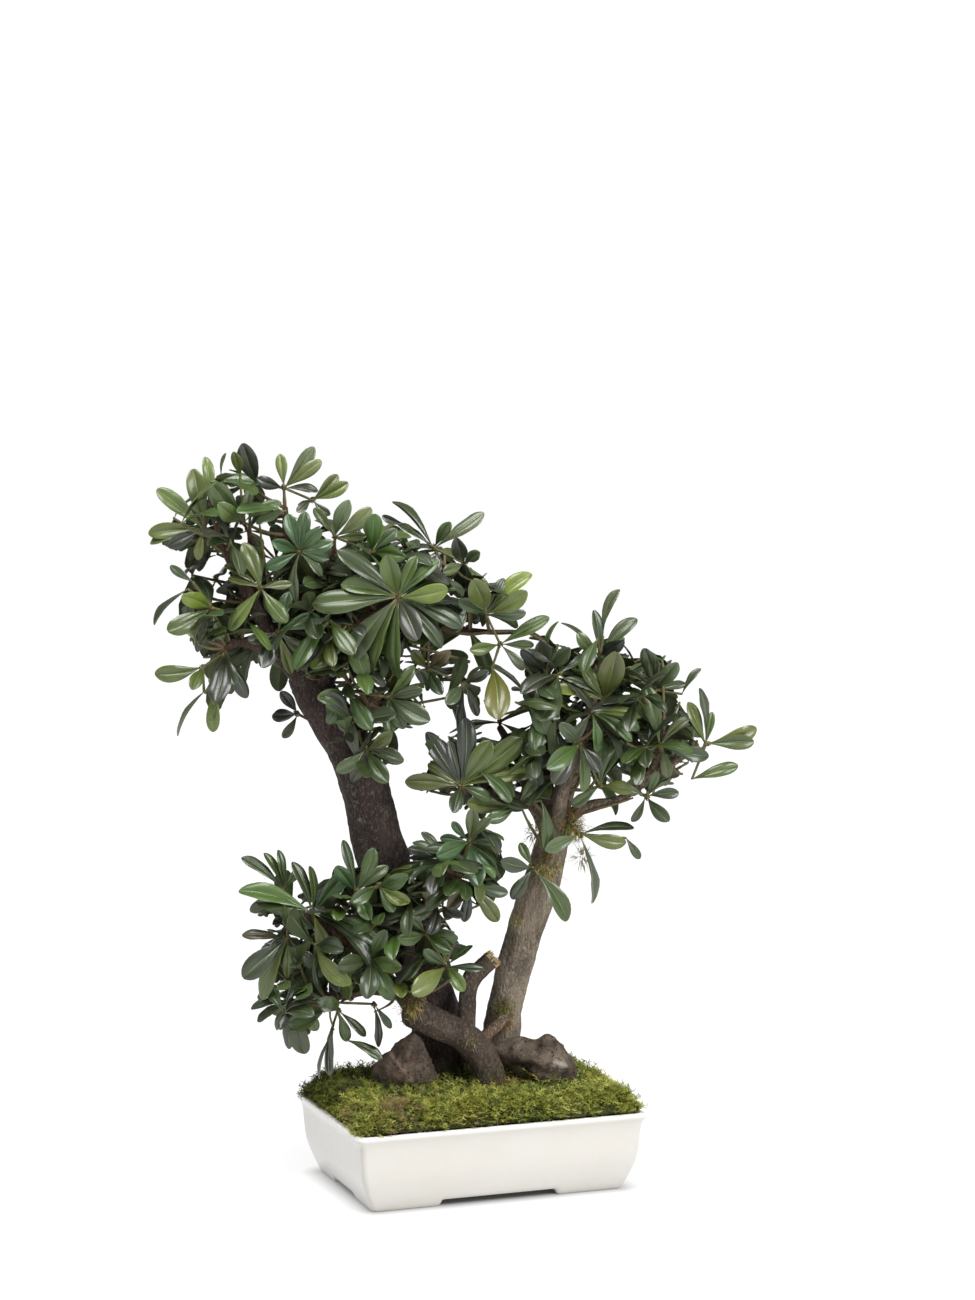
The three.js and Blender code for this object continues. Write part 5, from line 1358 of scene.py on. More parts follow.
            (424, 950, 12, MID),
        )),
        ((426, 934, 52), (
            (456, 938, 14, MID), (452, 952, 14, FRESH), (398, 938, 15, MID), (408, 912, 12, MID),
        )),
    )),
    "hanging": ("low_hanging_limb", (
        ((292, 1001, 38), (
            (257, 1021, 8, DARK), (251, 1009, 7, DARK), (276, 1030, 7, MID), (289, 1049, 11, DARK),
            (305, 1054, 20, DARK), (318, 1030, 14, OLIVE),
        )),
        ((338, 1010, 42), (
            (347, 1042, 12, MID), (382, 1059, 8, MID, 345, 1040), (328, 1075, 7, DARK),
            (319, 1079, 5, DARK, 328, 1040), (366, 1036, 8, DARK),
        )),
        ((374, 1004, 46), ((379, 1047, 8, SHADE_BLACK), (392, 1028, 7, DARK))),
    )),
}
# Whorls on the far side, which other leaves hide, with the number of leaves all round
BACK_SPRAYS = {
    "back_crown_top": ("back_limb", (((248, 530, -92), 5), ((276, 560, -98), 4))),
    "back_crown_left": ("back_limb", (((236, 600, -90), 5), ((216, 580, -72), 4))),
    "back_crown_low": ("back_limb", (((282, 640, -92), 5), ((318, 600, -96), 4))),
    "back_crown_middle": ("back_right_limb", (((346, 572, -96), 5), ((384, 610, -104), 4))),
    "back_crown_right": ("back_right_limb", (((410, 575, -94), 5), ((438, 592, -78), 4))),
    "back_crown_side": ("bridge_limb", (((468, 628, -52), 4), ((420, 660, -60), 4))),
    "back_right_top": ("right_back_limb", (((618, 700, -86), 5), ((600, 672, -70), 4))),
    "back_right_low": ("right_back_limb", (((640, 744, -68), 5), ((590, 770, -92), 4))),
    "back_right_left": ("right_back_left_limb", (((500, 722, -80), 5), ((532, 700, -72), 4))),
    "back_low": ("low_back_limb", (((294, 912, -44), 5), ((330, 900, -52), 4))),
}

# Each crown's outline in the picture, how near its hidden whorls stand, and the stem that bears them. The
# throat's leaves cover the fork of the left stem.
CROWNS = {
    "left_crown": ((-74, 34), "trunk_left", (
        (156, 536), (171, 525), (177, 508), (188, 494), (204, 486), (213, 470), (232, 464), (250, 474),
        (262, 486), (283, 492), (304, 495), (314, 501), (324, 513), (336, 524), (352, 519), (374, 516),
        (402, 523), (420, 542), (462, 549), (488, 576), (522, 578), (526, 604), (546, 618), (540, 630),
        (486, 628), (440, 640), (412, 648), (398, 676), (352, 684), (333, 681), (300, 673), (270, 668),
        (252, 664), (246, 692), (222, 722), (208, 722), (204, 684), (194, 650), (170, 634), (182, 596),
        (178, 565),
    )),
    "throat": ((18, 44), "trunk_left", (
        (288, 640), (300, 618), (330, 610), (352, 622), (360, 650), (352, 684), (333, 684), (300, 676),
        (284, 664),
    )),
    "middle": ((-60, 5), "trunk_left", (
        (412, 645), (440, 650), (476, 650), (492, 664), (486, 690), (478, 716), (470, 740), (455, 736),
        (446, 712), (430, 722), (426, 690), (412, 668),
    )),
    "neck": ((8, 40), "trunk_left", (
        (340, 668), (372, 668), (400, 660), (428, 664), (432, 690), (430, 722), (408, 732), (392, 738),
        (402, 762), (388, 780), (352, 784), (338, 772), (345, 742), (328, 724), (320, 700),
    )),
    "right_crown": ((-64, 34), "trunk_right", (
        (520, 640), (533, 634), (552, 642), (578, 652), (594, 638), (613, 633), (626, 641), (633, 657),
        (646, 650), (668, 652), (678, 664), (668, 678), (680, 698), (688, 716), (706, 728), (708, 744),
        (700, 760), (684, 766), (683, 781), (667, 790), (650, 800), (620, 794), (610, 785), (590, 796),
        (575, 800), (560, 794), (546, 802), (530, 818), (504, 822), (488, 822), (464, 812), (448, 808),
        (452, 797), (415, 795), (406, 783), (415, 773), (434, 771), (424, 746), (427, 731), (441, 738),
        (458, 725), (478, 714), (486, 735), (502, 737), (524, 728), (516, 712), (510, 698), (522, 684),
        (518, 660),
    )),
    "low_pad": ((-22, 62), "trunk_low", (
        (244, 892), (254, 888), (275, 886), (294, 894), (316, 892), (328, 876), (338, 872), (352, 870),
        (368, 856), (380, 844), (388, 860), (402, 864), (406, 848), (417, 838), (450, 842), (457, 825),
        (470, 822), (492, 828), (506, 840), (509, 862), (506, 888), (502, 916), (488, 918), (473, 898),
        (462, 914), (450, 920), (454, 934), (468, 947), (457, 962), (461, 991), (436, 994), (415, 998),
        (402, 999), (380, 992), (357, 997), (346, 1010), (320, 1014), (316, 1032), (307, 1050), (292, 1046),
        (282, 1034), (274, 1024), (272, 1004), (260, 1018), (250, 1003), (272, 984), (247, 982), (243, 971),
        (257, 951), (266, 940), (266, 930), (254, 912),
    )),
}
# Gaps that light comes through: pixel across and down, and radius in pixels
GAPS = (
    (582, 803, 12), (499, 668, 9), (216, 566, 7), (222, 592, 6), (268, 538, 6), (269, 552, 6), (436, 700, 7),
    (281, 530, 5), (290, 496, 5), (270, 495, 4), (308, 517, 3), (348, 531, 4), (333, 544, 3), (247, 534, 3),
)

# Sizes in millimetres or as shares of a leaf's length or width, and the tones of a twig's tip and base
TWIG_BASE = 2.2
TWIG_TIP = 1.3
TWIG_SAG = 3
BUD_LENGTH = 9
BUD_THICKNESS = 1.9
BUD_SCALES = 7
YOUNG_TWIG, OLD_TWIG = (0.12, 0.115, 0.035), (0.13, 0.07, 0.04)
LEAF_LONGEST = 76
LEAF_SLENDERNESS = 0.36
LEAF_NARROWEST = 0.29
LEAF_ARCH = 0.07
LEAF_WIDEST_AT = 0.68
STALK_START = 2
SPUR_START = -1
LEAF_THICKNESS = 0.9
BACK_LENGTHS = (44, 62)
FILLING_LENGTHS = (34, 58)
FILLING_SLENDERNESS = 0.33
# A twig springs from a place this much lower than its whorl, where the limb has one
SEAT_DROP = 12
SEAT_WEIGHT = 0.6
# Distances that a tip may lie nearer or farther, and the corner of the solid's tip that shows which it is
LEANS = (0, 7, -7, 14, -14, 21, -21, 28, -28, 36, -36, 44, -44)
TIP_CORNER = (0.96, 0.46)
LEAF_COLUMNS = (-1, -0.9, -0.72, -0.5, -0.28, -0.1, 0, 0.1, 0.28, 0.5, 0.72, 0.9, 1)
LEAF_ROWS = (0, 0.05, 0.13, 0.24, 0.36, 0.48, 0.6, 0.7, 0.79, 0.87, 0.93, 0.975, 1)
HIDDEN_COLUMNS = (-1, -0.72, -0.35, 0, 0.35, 0.72, 1)
HIDDEN_ROWS = (0, 0.12, 0.3, 0.5, 0.68, 0.84, 0.95, 1)
# Of the leaf's width: how high each half swells, how deep the midrib lies and how far the edge bends back
LEAF_SWELL = 0.025
LEAF_FOLD = 0.03
LEAF_RIM = 0.07


def leaf_half(share):
    """Half of a leaf's width at a share of its length, from 0 to 1."""
    if share < LEAF_WIDEST_AT:
        return 0.06 + 0.94 * math.sin(math.pi / 2 * (share / LEAF_WIDEST_AT) ** 1.25) ** 1.2
    return max(0.03, 1 - ((share - LEAF_WIDEST_AT) / (1 - LEAF_WIDEST_AT)) ** 2.3) ** 0.55


class Leaf:
    """A leaf's stalk and tip, its width, and the way that its upper face looks."""

    def __init__(self, stalk, tip, face, width):
        self.stalk, self.tip, self.width = stalk, tip, width
        self.along = (tip - stalk).normalized()
        self.length = (tip - stalk).length
        self.upward = (face - self.along * face.dot(self.along)).normalized()
        self.sideways = self.upward.cross(self.along)

    def point(self, share, half, lift=0.0):
        arch = LEAF_ARCH * self.length * 4 * share * (1 - share)
        place = self.stalk + self.along * (share * self.length) + self.sideways * (half * self.width / 2)
        return place + self.upward * (arch + lift)

    def add_to(self, skin, tone, seed, columns=LEAF_COLUMNS, rows=LEAF_ROWS):
        """Adds the upper and the under face, which meet at the leaf's edge."""
        cup = (chance(seed + 1) - 0.25) * self.width * 0.22
        hook = (chance(seed + 2) ** 2 * 1.3 - 0.15) * self.length * 0.6
        twist = (chance(seed + 3) - 0.5) * 1.1
        wave = (chance(seed + 4) - 0.5) * self.width * 0.12
        bow = (chance(seed + 5) - 0.5) * self.length * 0.09
        trough = (0.05 + 0.22 * chance(seed + 9)) * self.width
        brightness = 0.72 + 0.56 * chance(seed + 6)
        yellow = 1 + 0.3 * (chance(seed + 7) - 0.5)
        colour = (tone[0] * brightness * yellow, tone[1] * brightness, tone[2] * brightness / yellow)
        upper, under = [], []
        for share in rows:
            half = leaf_half(share)
            top_row, under_row = [], []
            for across in columns:
                edge, out = across * half, abs(across)
                swell = LEAF_SWELL * math.sin(math.pi * min(1, out * 1.1))
                swell -= LEAF_FOLD * max(0, 1 - out / 0.3) ** 2
                lift = swell * self.width * min(1, half * 1.6) * (1 - share ** 6)
                rim = LEAF_RIM * self.width * max(0, out - 0.6) ** 2 * 4
                lift += trough * abs(edge) - cup * edge * edge - rim
                turned = math.sin(twist * (share - 0.4))
                lift += -hook * max(0, share - 0.65) ** 2 + edge * self.width * 0.5 * turned
                lift += wave * math.sin(share * 15 + seed) * edge * abs(edge)
                place = self.point(share, edge, lift) + self.sideways * bow * 4 * share * (1 - share)
                thick = LEAF_THICKNESS * MM * (1 - across ** 2) ** 0.5 * min(1, half * 3)
                rib = 0.6 * MM * max(0, 1 - out * 6) * (1 - share)
                top_row.append(place)
                under_row.append(place - self.upward * (thick + rib * (out < 1)))
            upper.append(top_row)
            under.append(under_row)
        spread = [(across + 1) / 2 for across in columns]
        random_share = chance(seed + 8)
        skin.grid(upper, 0, colour, spread, list(rows), seed=random_share, flip=True)
        skin.grid(under, 1, colour, spread, list(rows), seed=random_share)


def shown_leaf(whorl, reading, lean):
    """A leaf that shows, turned and leant so that it looks as long and as wide as it was read."""
    across, down, wide, _, *source = reading
    stalk = seen(*(source or whorl[:2]), whorl[2])
    seen_length = (seen(across, down, whorl[2]) - stalk).length
    length = min(max(seen_length, wide * PIXEL / LEAF_SLENDERNESS), max(LEAF_LONGEST * MM, seen_length))
    depth = math.sqrt(max(0, length ** 2 - seen_length ** 2)) / MM + lean
    tip = seen(across, down, whorl[2] + depth)
    along = (tip - stalk).normalized()
    width = max(wide * PIXEL, LEAF_NARROWEST * (tip - stalk).length)
    roll = math.acos(min(1, wide * PIXEL / width))
    front = (NEAR - along * NEAR.dot(along)).normalized()
    over = along.cross(front)
    lit = -1 if over.z < 0 else 1
    face = front * math.cos(roll) + over * math.sin(roll) * lit
    return Leaf(stalk + along * (SPUR_START if source else STALK_START) * MM, tip, face, width)


def whorl_leaf(middle, outward, seed, index, lean):
    """A leaf of a whorl on the far side, which opens round the way that its twig points."""
    turn = index * GOLDEN_TURN + seed
    side = outward.cross(UP).normalized()
    over = side.cross(outward)
    forward = -0.35 + 0.75 * chance(seed + index)
    way = side * math.cos(turn) + over * math.sin(turn) + outward * forward
    way = (way + UP * lean / max(LEANS)).normalized()
    shortest, longest = BACK_LENGTHS
    length = (shortest + (longest - shortest) * chance(seed * 3 + index)) * MM
    stalk, tip = middle + way * STALK_START * MM, middle + way * length
    return Leaf(stalk, tip, outward + UP, length * LEAF_SLENDERNESS)


def as_grown(shape_at, corners):
    """The leaf as far forward or back as in the solid, or None where the solid has none."""
    best = None
    for lean in LEANS:
        leaf = shape_at(lean)
        miss = min(corners.find(leaf.point(TIP_CORNER[0], side * TIP_CORNER[1]))[2] for side in (-1, 1))
        if best is None or miss < best[0]:
            best = miss, leaf
    return best[1] if best[0] < 0.2 * MM else None


def seat_on(limb, whorl):
    """The place on a limb that a twig for this whorl springs from."""
    stations = LIMBS[limb][1] if limb in LIMBS else STEMS[limb]
    goal, best = seen(*whorl), None
    for start, stop in zip(stations, stations[1:]):
        for share in (0, 0.25, 0.5, 0.75, 1):
            place = [a + (b - a) * share for a, b in zip(start[:3], stop[:3])]
            point = seen(*place)
            cost = (point - goal).length + max(0, point.z - goal.z + SEAT_DROP * MM) * SEAT_WEIGHT
            if best is None or cost < best[0]:
                best = cost, place
    return best[1]


def knotted(middle, outward, radius, run):
    """The radius of a twig here, with its leaf scars."""
    place = middle + outward * radius
    scar = max(0, math.sin(run / MM * 0.9 + noise.noise(middle * 30) * 3)) ** 6
    return radius * (1 + 0.16 * noise.noise(place * 140) + 0.2 * scar)


def add_twig(skin, stations, sides=8):
    run = rounded_end(course(stations, TWIG_STEP), 0.5)
    thickest, thinnest = TWIG_BASE * MM, TWIG_TIP * MM

    def tone(row, _):
        old = min(1, max(0, (run[row][1] - thinnest) / (thickest - thinnest)))
        return tuple(green + (brown - green) * old for green, brown in zip(YOUNG_TWIG, OLD_TWIG))

    skin.grid(rings_of(run, sides, knotted), 2, tone, closed=True)


def add_bud(skin, middle, outward, seed):
    """A bud of overlapping pointed scales."""
    side = outward.orthogonal().normalized()
    other = outward.cross(side)
    long, thick = BUD_LENGTH * MM, BUD_THICKNESS * MM
    ways = [side * math.cos(a) + other * math.sin(a) for a in (0, 1.05, 2.1, 3.15, 4.2, 5.25)]
    body = [
        [middle + outward * long * (t - 0.35) + way * thick * wide for way in ways]
        for t, wide in ((0, 0.5), (0.15, 0.95), (0.35, 1.15), (0.6, 0.85), (0.85, 0.35), (1, 0.05))
    ]
    skin.grid(body, 2, (0.15, 0.14, 0.05), closed=True)
    for i in range(BUD_SCALES):
        turn = i * GOLDEN_TURN + seed
        out = side * math.cos(turn) + other * math.sin(turn)
        wide = outward.cross(out) * thick * 0.75
        foot = middle + outward * long * (0.06 * i - 0.3) + out * thick * 0.8
        mid = foot + outward * long * 0.25 + out * thick * 0.8
        end = foot + outward * long * 0.5 + out * thick * (0.4 + 0.7 * chance(seed + i))
        rows = [
            [foot - wide * 0.7, foot + out * thick * 0.3, foot + wide * 0.7],
            [mid - wide, mid + out * thick * 0.3, mid + wide],
            [end - wide * 0.1, end, end + wide * 0.1],
        ]
        skin.grid(rows, 2, (0.17, 0.12, 0.055) if i % 2 else (0.1, 0.11, 0.035), flip=True)


def leaf_finish(name, underside):
    leaf = Finish(
        name, roughness=0.4, specular_ior_level=0.35 if underside else 0.64,
        coat_weight=0.0 if underside else 0.46, coat_roughness=0.17,
    )
    tone = leaf.read("tone")
    across, along, own = parts_of(leaf.read("spot", "Vector"))
    out = abs(across - 0.5) * 2
    midrib = out.step(0.06, 0.015) * along.step(1.0, 0.72)
    midrib_sheen_mask = out.step(0.32, 0.05) * along.step(1.05, 0.5)
    ribs = (across - 0.5) * (across - 0.5) * -9 + along * 13
    slanted = ribs + abs(across - 0.5) * -5
    fan = abs(slanted.maths("FRACT", slanted) - 0.5).step(0.07, 0.0)
    side_veins = fan * out.step(0.02, 0.2) * out.step(1.0, 0.8)
    mottle = leaf.grain(95, 4, 0.6)
    pores = leaf.grain(900, 2)
    rim = out.step(0.9, 1.0)
    stalk = along.step(0.14, 0.0)
    if underside:
        dull = leaf.blend(0.5, tone, (0.10, 0.13, 0.055))
        shaded = leaf.blend(mottle.step(0.4, 0.7) * 0.35, dull, (0.05, 0.07, 0.025))
        veined = leaf.blend(side_veins * 0.3 + midrib * 0.65, shaded, (0.24, 0.27, 0.12))
        leaf.set(
            base_color=leaf.blend(stalk * 0.6, veined, (0.2, 0.19, 0.07)),
            roughness=mottle * 0.2 + 0.5,
            normal=leaf.bump(midrib * 1.4 + side_veins * 0.5 + pores * 0.12, 0.0006, 0.8),
        )
        return leaf
    deep = leaf.blend(mottle.step(0.35, 0.7) * 0.45, tone, leaf.blend(0.5, tone, (0.01, 0.02, 0.008)))
    # A pale band along both sides of the midrib is a painted sheen
    painted_light = leaf.blend(midrib_sheen_mask * 0.24, deep, leaf.blend(0.35, tone, (0.2, 0.26, 0.11)))
    # The midrib is pale on most leaves, and on some it is painted dark as shade in its sunk groove
    midrib_pale_and_painted_shade = leaf.blend(own.step(0.15, 0.4), leaf.blend(0.6, tone, (0.006, 0.012, 0.004)), (0.2, 0.25, 0.1))
    veined = leaf.blend(side_veins * 0.14, leaf.blend(midrib * 0.75, painted_light, midrib_pale_and_painted_shade), (0.2, 0.25, 0.1))
    edged = leaf.blend(rim * 0.3, veined, (0.16, 0.19, 0.06))
    leaf.set(
        base_color=leaf.blend(stalk * 0.7, edged, (0.24, 0.24, 0.08)),
        roughness=mottle * 0.16 + 0.3 + own * 0.12,
        normal=leaf.bump(side_veins * -0.5 + midrib * -0.7 + mottle * 0.38 + pores * 0.05, 0.0006, 0.75),
    )
    return leaf


leaf_top = leaf_finish("leaf_upper_face", False)
leaf_under = leaf_finish("leaf_underside", True)
twig_bark = Finish("twig_bark", roughness=0.7)
twig_grain = twig_bark.grain(380, 4, 0.6)
twig_bark.set(
    base_color=twig_bark.blend(twig_grain.step(0.4, 0.68) * 0.6, twig_bark.read("tone"), (0.05, 0.03, 0.018)),
    normal=twig_bark.bump(twig_grain, 0.0006, 0.7),
)
LEAF_FINISHES = [leaf_top, leaf_under, twig_bark]

# A hidden leaf must miss the wood, the other sprays and the hidden leaves before it, and must not show
# outside its crown
solids = {}
for node_name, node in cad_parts.items():
    shape = bmesh.new()
    shape.from_mesh(node.data)
    solids[node_name] = (BVHTree.FromBMesh(shape), *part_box(node_name))
    shape.free()
hidden_leaves = []
# How far a hidden leaf may pass the solid model's box, and how far in pixels it keeps from a gap
OVER_THE_BOX = 11 * MM
GAP_MARGIN = 6


def within(outline, across, down):
    """Whether a pixel lies inside an outline."""
    inside = False
    for (x, y), (next_x, next_y) in zip(outline, outline[1:] + outline[:1]):
        if (y > down) != (next_y > down) and across < x + (down - y) / (next_y - y) * (next_x - x):
            inside = not inside
    return inside


def has_room(leaf, own, outlines, whorl):
    """Whether a hidden leaf fits here. One that does is kept, so that later ones miss it."""
    places = ((0, 0), (0.35, 0.5), (0.65, 1), (0.98, 0.4), (0.98, -0.4), (0.65, -1), (0.35, -0.5))
    corners = [leaf.point(share, half) for share, half in places]
    spots = [pixel_of(corner) for corner in corners[1:]]
    if not all(any(within(outline, *spot) for outline in outlines) for spot in spots):
        return False
    spine = [pixel_of(leaf.point(share, 0)) for share in (0.3, 0.5, 0.7, 0.9)]
    if any(math.hypot(spot[0] - x, spot[1] - y) < size + GAP_MARGIN for spot in spine for x, y, size in GAPS):
        return False
    low = Vector([min(corner[k] for corner in corners) for k in range(3)])
    high = Vector([max(corner[k] for corner in corners) for k in range(3)])
    if any(low[k] < cad_box[0][k] - OVER_THE_BOX or high[k] > cad_box[1][k] + OVER_THE_BOX for k in range(3)):
        return False
    blade = BVHTree.FromPolygons(corners, [tuple(range(len(corners)))])
    for name, (tree, other_low, other_high) in solids.items():
        if name != own and all(high[k] > other_low[k] and low[k] < other_high[k] for k in range(3)):
            if tree.overlap(blade):
                return False
    for tree, other_low, other_high, other_whorl in hidden_leaves:
        if other_whorl != whorl and all(high[k] > other_low[k] and low[k] < other_high[k] for k in range(3)):
            if tree.overlap(blade):
                return False
    hidden_leaves.append((blade, low, high, whorl))
    return True


def filling_leaves(whorl, readings, own):
    """Leaves behind the shown ones, so that the whorl is full from the back too."""
    middle = seen(*whorl)
    shortest, longest = FILLING_LENGTHS
    for i, reading in enumerate(readings):
        seed = whorl[0] + i * 7.3
        toward = seen(reading[0], reading[1], whorl[2]) - middle
        if toward.length < 12 * MM:
            continue
        for extra in range(2):
            turn = (chance(seed + extra) - 0.5) * 1.5
            flat = toward.normalized()
            over = flat.cross(NEAR)
            back = math.radians(24 + 44 * chance(seed + extra + 0.3))
            way = (flat * math.cos(turn) + over * math.sin(turn)) * math.cos(back) - NEAR * math.sin(back)
            length = min(longest * MM, max(shortest * MM, toward.length / math.cos(back) * 0.85))
            length *= 0.85 + 0.3 * chance(seed + extra + 0.6)
            face = UP * 0.9 - NEAR * 0.4 + flat * 0.2
            stalk, tip = middle + way * STALK_START * MM, middle + way * length
            leaf = Leaf(stalk, tip, face, length * FILLING_SLENDERNESS)
            if has_room(leaf, own, [crown[2] for crown in CROWNS.values()], whorl):
                yield leaf, FILLING_TONES[int(chance(seed * 2 + extra) * len(FILLING_TONES))]


for name, (limb, whorls) in (SPRAYS | BACK_SPRAYS).items():
    node_name = name + "_leaves"
    skin = Skin()
    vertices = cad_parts[node_name].data.vertices
    corners = KDTree(len(vertices))
    for vertex in vertices:
        corners.insert(vertex.co, vertex.index)
    corners.balance()
    seat = seat_on(limb, whorls[0][0])
    first = whorls[0][0]
    bend = [(a + b) / 2 for a, b in zip(seat, first)]
    bend[1] += TWIG_SAG
    add_twig(skin, ((*seat, TWIG_BASE), (*bend, (TWIG_BASE + TWIG_TIP) / 2), (*first, TWIG_TIP)))
    for whorl, _ in whorls[1:]:
        add_twig(skin, ((*first, TWIG_TIP), (*whorl, TWIG_TIP)))
    for whorl, readings in whorls:
        outward = (seen(*whorl) - seen(*seat_on(limb, whorl))).normalized()
        add_bud(skin, seen(*whorl), outward, whorl[0])
        if name in BACK_SPRAYS:
            own = whorl[0] + whorl[1]
            for index in range(readings):
                leaf = as_grown(lambda lean: whorl_leaf(seen(*whorl), outward, own, index, lean), corners)
                if leaf:
                    leaf.add_to(skin, BACK_TONES[index], whorl[0] + index)
            continue
        for index, reading in enumerate(readings):
            if len(reading) > 4:
                add_twig(skin, ((*whorl, TWIG_TIP), (*reading[4:], whorl[2], TWIG_TIP)))
            leaf = as_grown(lambda lean: shown_leaf(whorl, reading, lean), corners)
            if leaf:
                leaf.add_to(skin, reading[3], whorl[0] + index * 3.7)
        for index, (leaf, tone) in enumerate(filling_leaves(whorl, readings, node_name)):
            leaf.add_to(skin, tone, whorl[1] + index * 5.1, HIDDEN_COLUMNS, HIDDEN_ROWS)
    skin.piece(name + "_spray", LEAF_FINISHES, "leaf", node_name)

# Inner foliage
# Older whorls on thin bare twigs fill the depth of each crown behind the leaves that show from the front.
# They grow out of the same limbs, point every way, and some have lost leaves.

# Distance between whorls in pixels, how far each is shifted, and rows as shares of the distance
WHORL_SPACING = 19.5
WHORL_SHIFT = 16
FIRST_ROW, NEXT_ROW = 0.4, 0.87
TWIG_MARGIN = 2
# Leaves of a whorl, their lengths and the radius halfway up their twig, in millimetres
HIDDEN_WHORL_LEAVES = 9
HIDDEN_LENGTHS = (45, 67)
HIDDEN_TWIG = 1.6
# Tones of the inner leaves, dark as painted shade deep in the crowns, and darkest in the shaded middle
# between them
HIDDEN_TONES = (DARK, MID, SHADE_BLACK, DARK, OLIVE, MID, DARK, MID, SHADE_BLACK, DARK, SHADE_BLACK)
SHADED_TONES = (SHADE_BLACK, DARK, SHADE_BLACK, SHADE_BLACK, DARK)


def limb_places(stem):
    """Places a few millimetres apart along every limb of a stem, as read places and as points."""
    for owner, stations in LIMBS.values():
        if owner == stem:
            for start, stop in zip(stations, stations[1:]):
                for share in (0.2, 0.4, 0.6, 0.8, 1):
                    place = [a + (b - a) * share for a, b in zip(start[:3], stop[:3])]
                    yield place, seen(*place)


shortest, longest = HIDDEN_LENGTHS
for crown, ((far, near), stem, outline_here) in CROWNS.items():
    inner = Skin()
    tones_here = SHADED_TONES if crown == "middle" else HIDDEN_TONES
    seats = list(limb_places(stem))
    left, right = min(x for x, _ in outline_here), max(x for x, _ in outline_here)
    top, bottom = min(y for _, y in outline_here), max(y for _, y in outline_here)
    row, down = 0, top + WHORL_SPACING * FIRST_ROW
    while down < bottom:
        across = left + WHORL_SPACING * (0.5 if row % 2 else 0)
        while across < right:
            seed = across * 1.7 + down * 3.1
            shift_across, shift_down = chance(seed) - 0.5, chance(seed + 1) - 0.5
            spot = (across + shift_across * WHORL_SHIFT, down + shift_down * WHORL_SHIFT)
            across += WHORL_SPACING
            if not within(outline_here, *spot):
                continue
            whorl = (*spot, far + (near - far) * chance(seed + 2))
            middle = seen(*whorl)
            seat, seat_point = min(seats, key=lambda s: (
                (s[1] - middle).length + max(0, s[1].z - middle.z + SEAT_DROP * MM) * SEAT_WEIGHT
            ))
            bend = [(a + b) / 2 for a, b in zip(seat, whorl)]
            bend[1] += TWIG_SAG
            lower = [(a + b) / 2 for a, b in zip(seat, bend)]
            upper = [(a + b) / 2 for a, b in zip(bend, whorl)]
            steps = [place[:2] for place in (seat, lower, bend, upper)]
            if not all(any(within(other[2], *step) for other in CROWNS.values()) for step in steps):
                continue
            if any(
                math.hypot(step[0] - x, step[1] - y) < size + TWIG_MARGIN
                for step in steps for x, y, size in GAPS
            ):
                continue
            outward = (middle - seat_point).normalized()
            outward = (outward + UP * 0.35 - NEAR * 0.2).normalized()
            side = outward.cross(UP).normalized()
            over = side.cross(outward)
            kept = 0
            for index in range(HIDDEN_WHORL_LEAVES):
                for attempt in range(3):
                    own = seed + index * 5.3 + attempt * 1.9
                    turn = index * GOLDEN_TURN + seed + attempt * 0.5
                    lean = -0.45 + 1.2 * chance(own)
                    way = (side * math.cos(turn) + over * math.sin(turn) + outward * lean).normalized()
                    length = (shortest + (longest - shortest) * chance(own + 1)) * MM
                    length *= 1 - attempt * 0.15
                    face = outward + UP * 0.8 + side * (chance(own + 2) - 0.5)
                    leaf = Leaf(
                        middle + way * STALK_START * MM, middle + way * length, face,
                        length * LEAF_SLENDERNESS * (0.8 + 0.35 * chance(own + 3)),
                    )
                    if has_room(leaf, None, [outline_here], spot):
                        tone = tones_here[int(chance(own + 4) * len(tones_here))]
                        leaf.add_to(inner, tone, own, HIDDEN_COLUMNS, HIDDEN_ROWS)
                        kept += 1
                        break
            if kept:
                add_twig(inner, ((*seat, TWIG_BASE), (*bend, HIDDEN_TWIG), (*whorl, TWIG_TIP)), 5)
        row += 1
        down += WHORL_SPACING * NEXT_ROW
    inner.piece(crown + "_inner_leaves", LEAF_FINISHES, "leaf")

# Bare twigs
# Thin leafless twigs cross the gaps between the crowns, and a thick pale one carries the great whorl. They
# are young wood, grey-brown or reddish, and each starts on a limb or a stem.

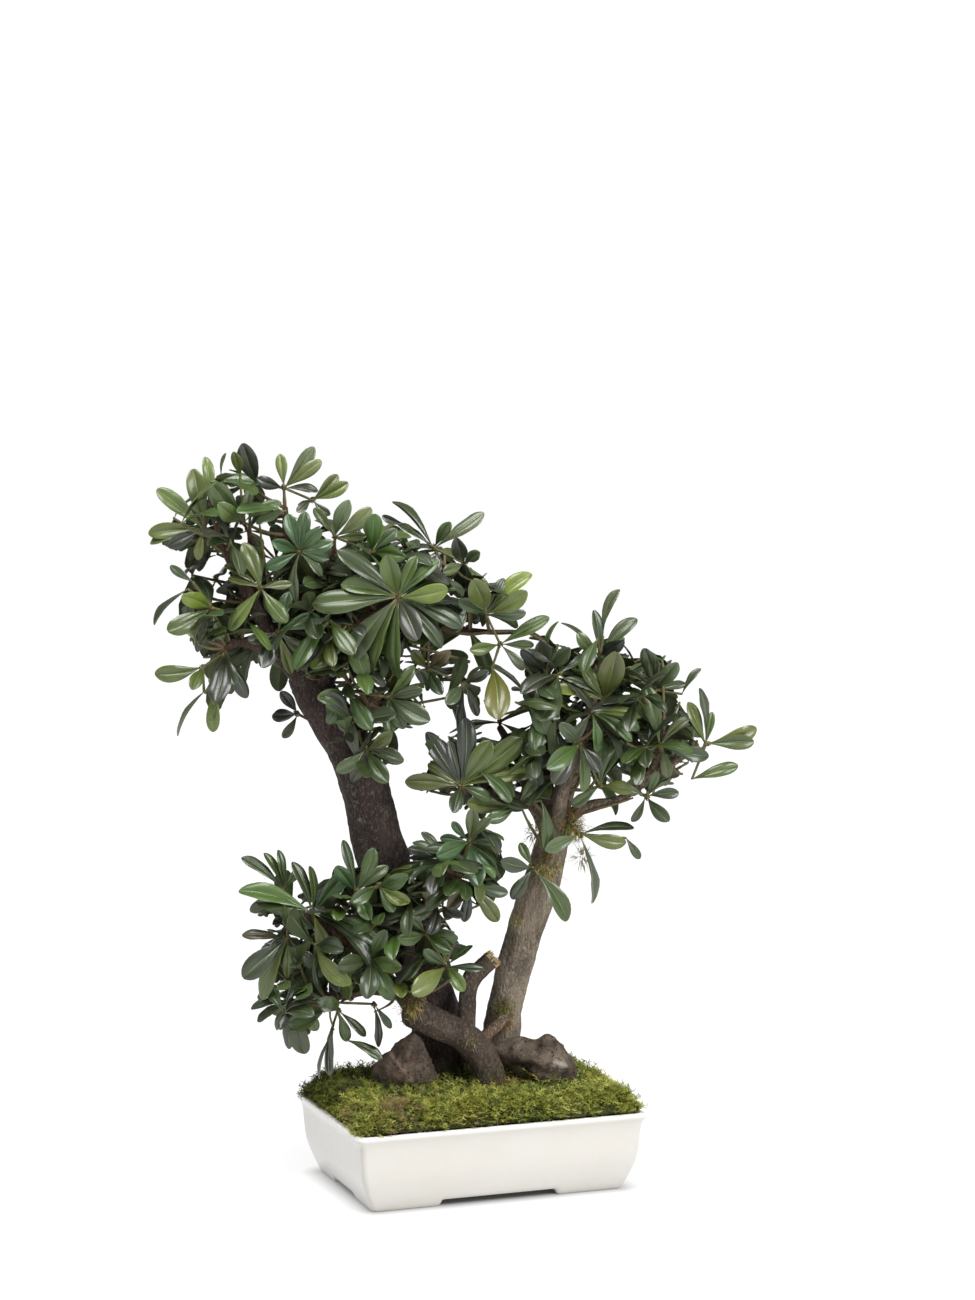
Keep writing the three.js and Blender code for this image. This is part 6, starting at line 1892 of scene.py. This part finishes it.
# From the thick end: pixel across and down, nearness and radius in millimetres
BARE_TWIGS = {
    "trunk_left": (
        (
            (332, 648, 10, 4.2), (350, 632, 32, 3.8), (372, 618, 44, 3.2), (390, 609, 51, 2.6),
            (398, 600, 54, 2.4),
        ),
        ((330, 652, 8, 3.4), (338, 664, 20, 2.8), (346, 678, 27, 2.3), (354, 694, 31, 1.8)),
        (
            (440, 629, -14, 2.2), (468, 634, -4, 1.8), (505, 631, 2, 1.5), (530, 634, 5, 1.2),
            (549, 646, 8, 0.9),
        ),
        ((470, 662, 0, 1.8), (446, 655, 4, 1.6), (420, 648, 8, 1.3), (399, 643, 10, 1)),
        ((436, 632, -12, 1.6), (416, 654, -4, 1.3), (400, 656, 2, 1)),
        (
            (262, 592, 14, 1.8), (245, 574, 18, 1.5), (228, 557, 18, 1.2), (214, 545, 16, 1),
            (204, 534, 14, 0.8),
        ),
        ((268, 584, 14, 1.7), (263, 552, 16, 1.3), (259, 519, 14, 0.9)),
    ),
    "trunk_right": (
        ((559, 808, -10, 2.4), (566, 792, 0, 2), (575, 775, 8, 1.5), (590, 781, 13, 1)),
        ((576, 815, -8, 2.2), (600, 808, 4, 1.7), (618, 803, 9, 1.3), (633, 798, 12, 0.9)),
        ((566, 792, 0, 1.4), (571, 778, 4, 1.1), (568, 764, 8, 0.8)),
        ((556, 826, -6, 3), (577, 812, 4, 2.5), (583, 796, 10, 2), (594, 782, 14, 1.4), (598, 768, 16, 1)),
        ((554, 822, -6, 2.6), (562, 806, 4, 2.2), (572, 792, 10, 1.8), (584, 776, 12, 1.2)),
        ((548, 826, -6, 2.6), (540, 810, 2, 2), (528, 796, 8, 1.5), (520, 782, 10, 1.1)),
        ((552, 858, -4, 2), (541, 842, 4, 1.7), (530, 826, 10, 1.3), (519, 802, 12, 1)),
        ((538, 705, -18, 1.6), (512, 712, -4, 1.2), (492, 716, 4, 1), (484, 700, 8, 0.8)),
    ),
    "trunk_low": (
        ((398, 990, 33, 1.8), (392, 1002, 42, 1.4), (383, 1008, 46, 1), (374, 1012, 48, 0.8)),
        ((340, 996, 36, 1.5), (330, 1012, 42, 1.1), (334, 1030, 46, 0.8)),
    ),
}

for trunk, runs in BARE_TWIGS.items():
    bare = Skin()
    for run in runs:
        add_twig(bare, run)
    bare.piece(trunk.replace("trunk", "bare_twigs"), LEAF_FINISHES, "leaf")
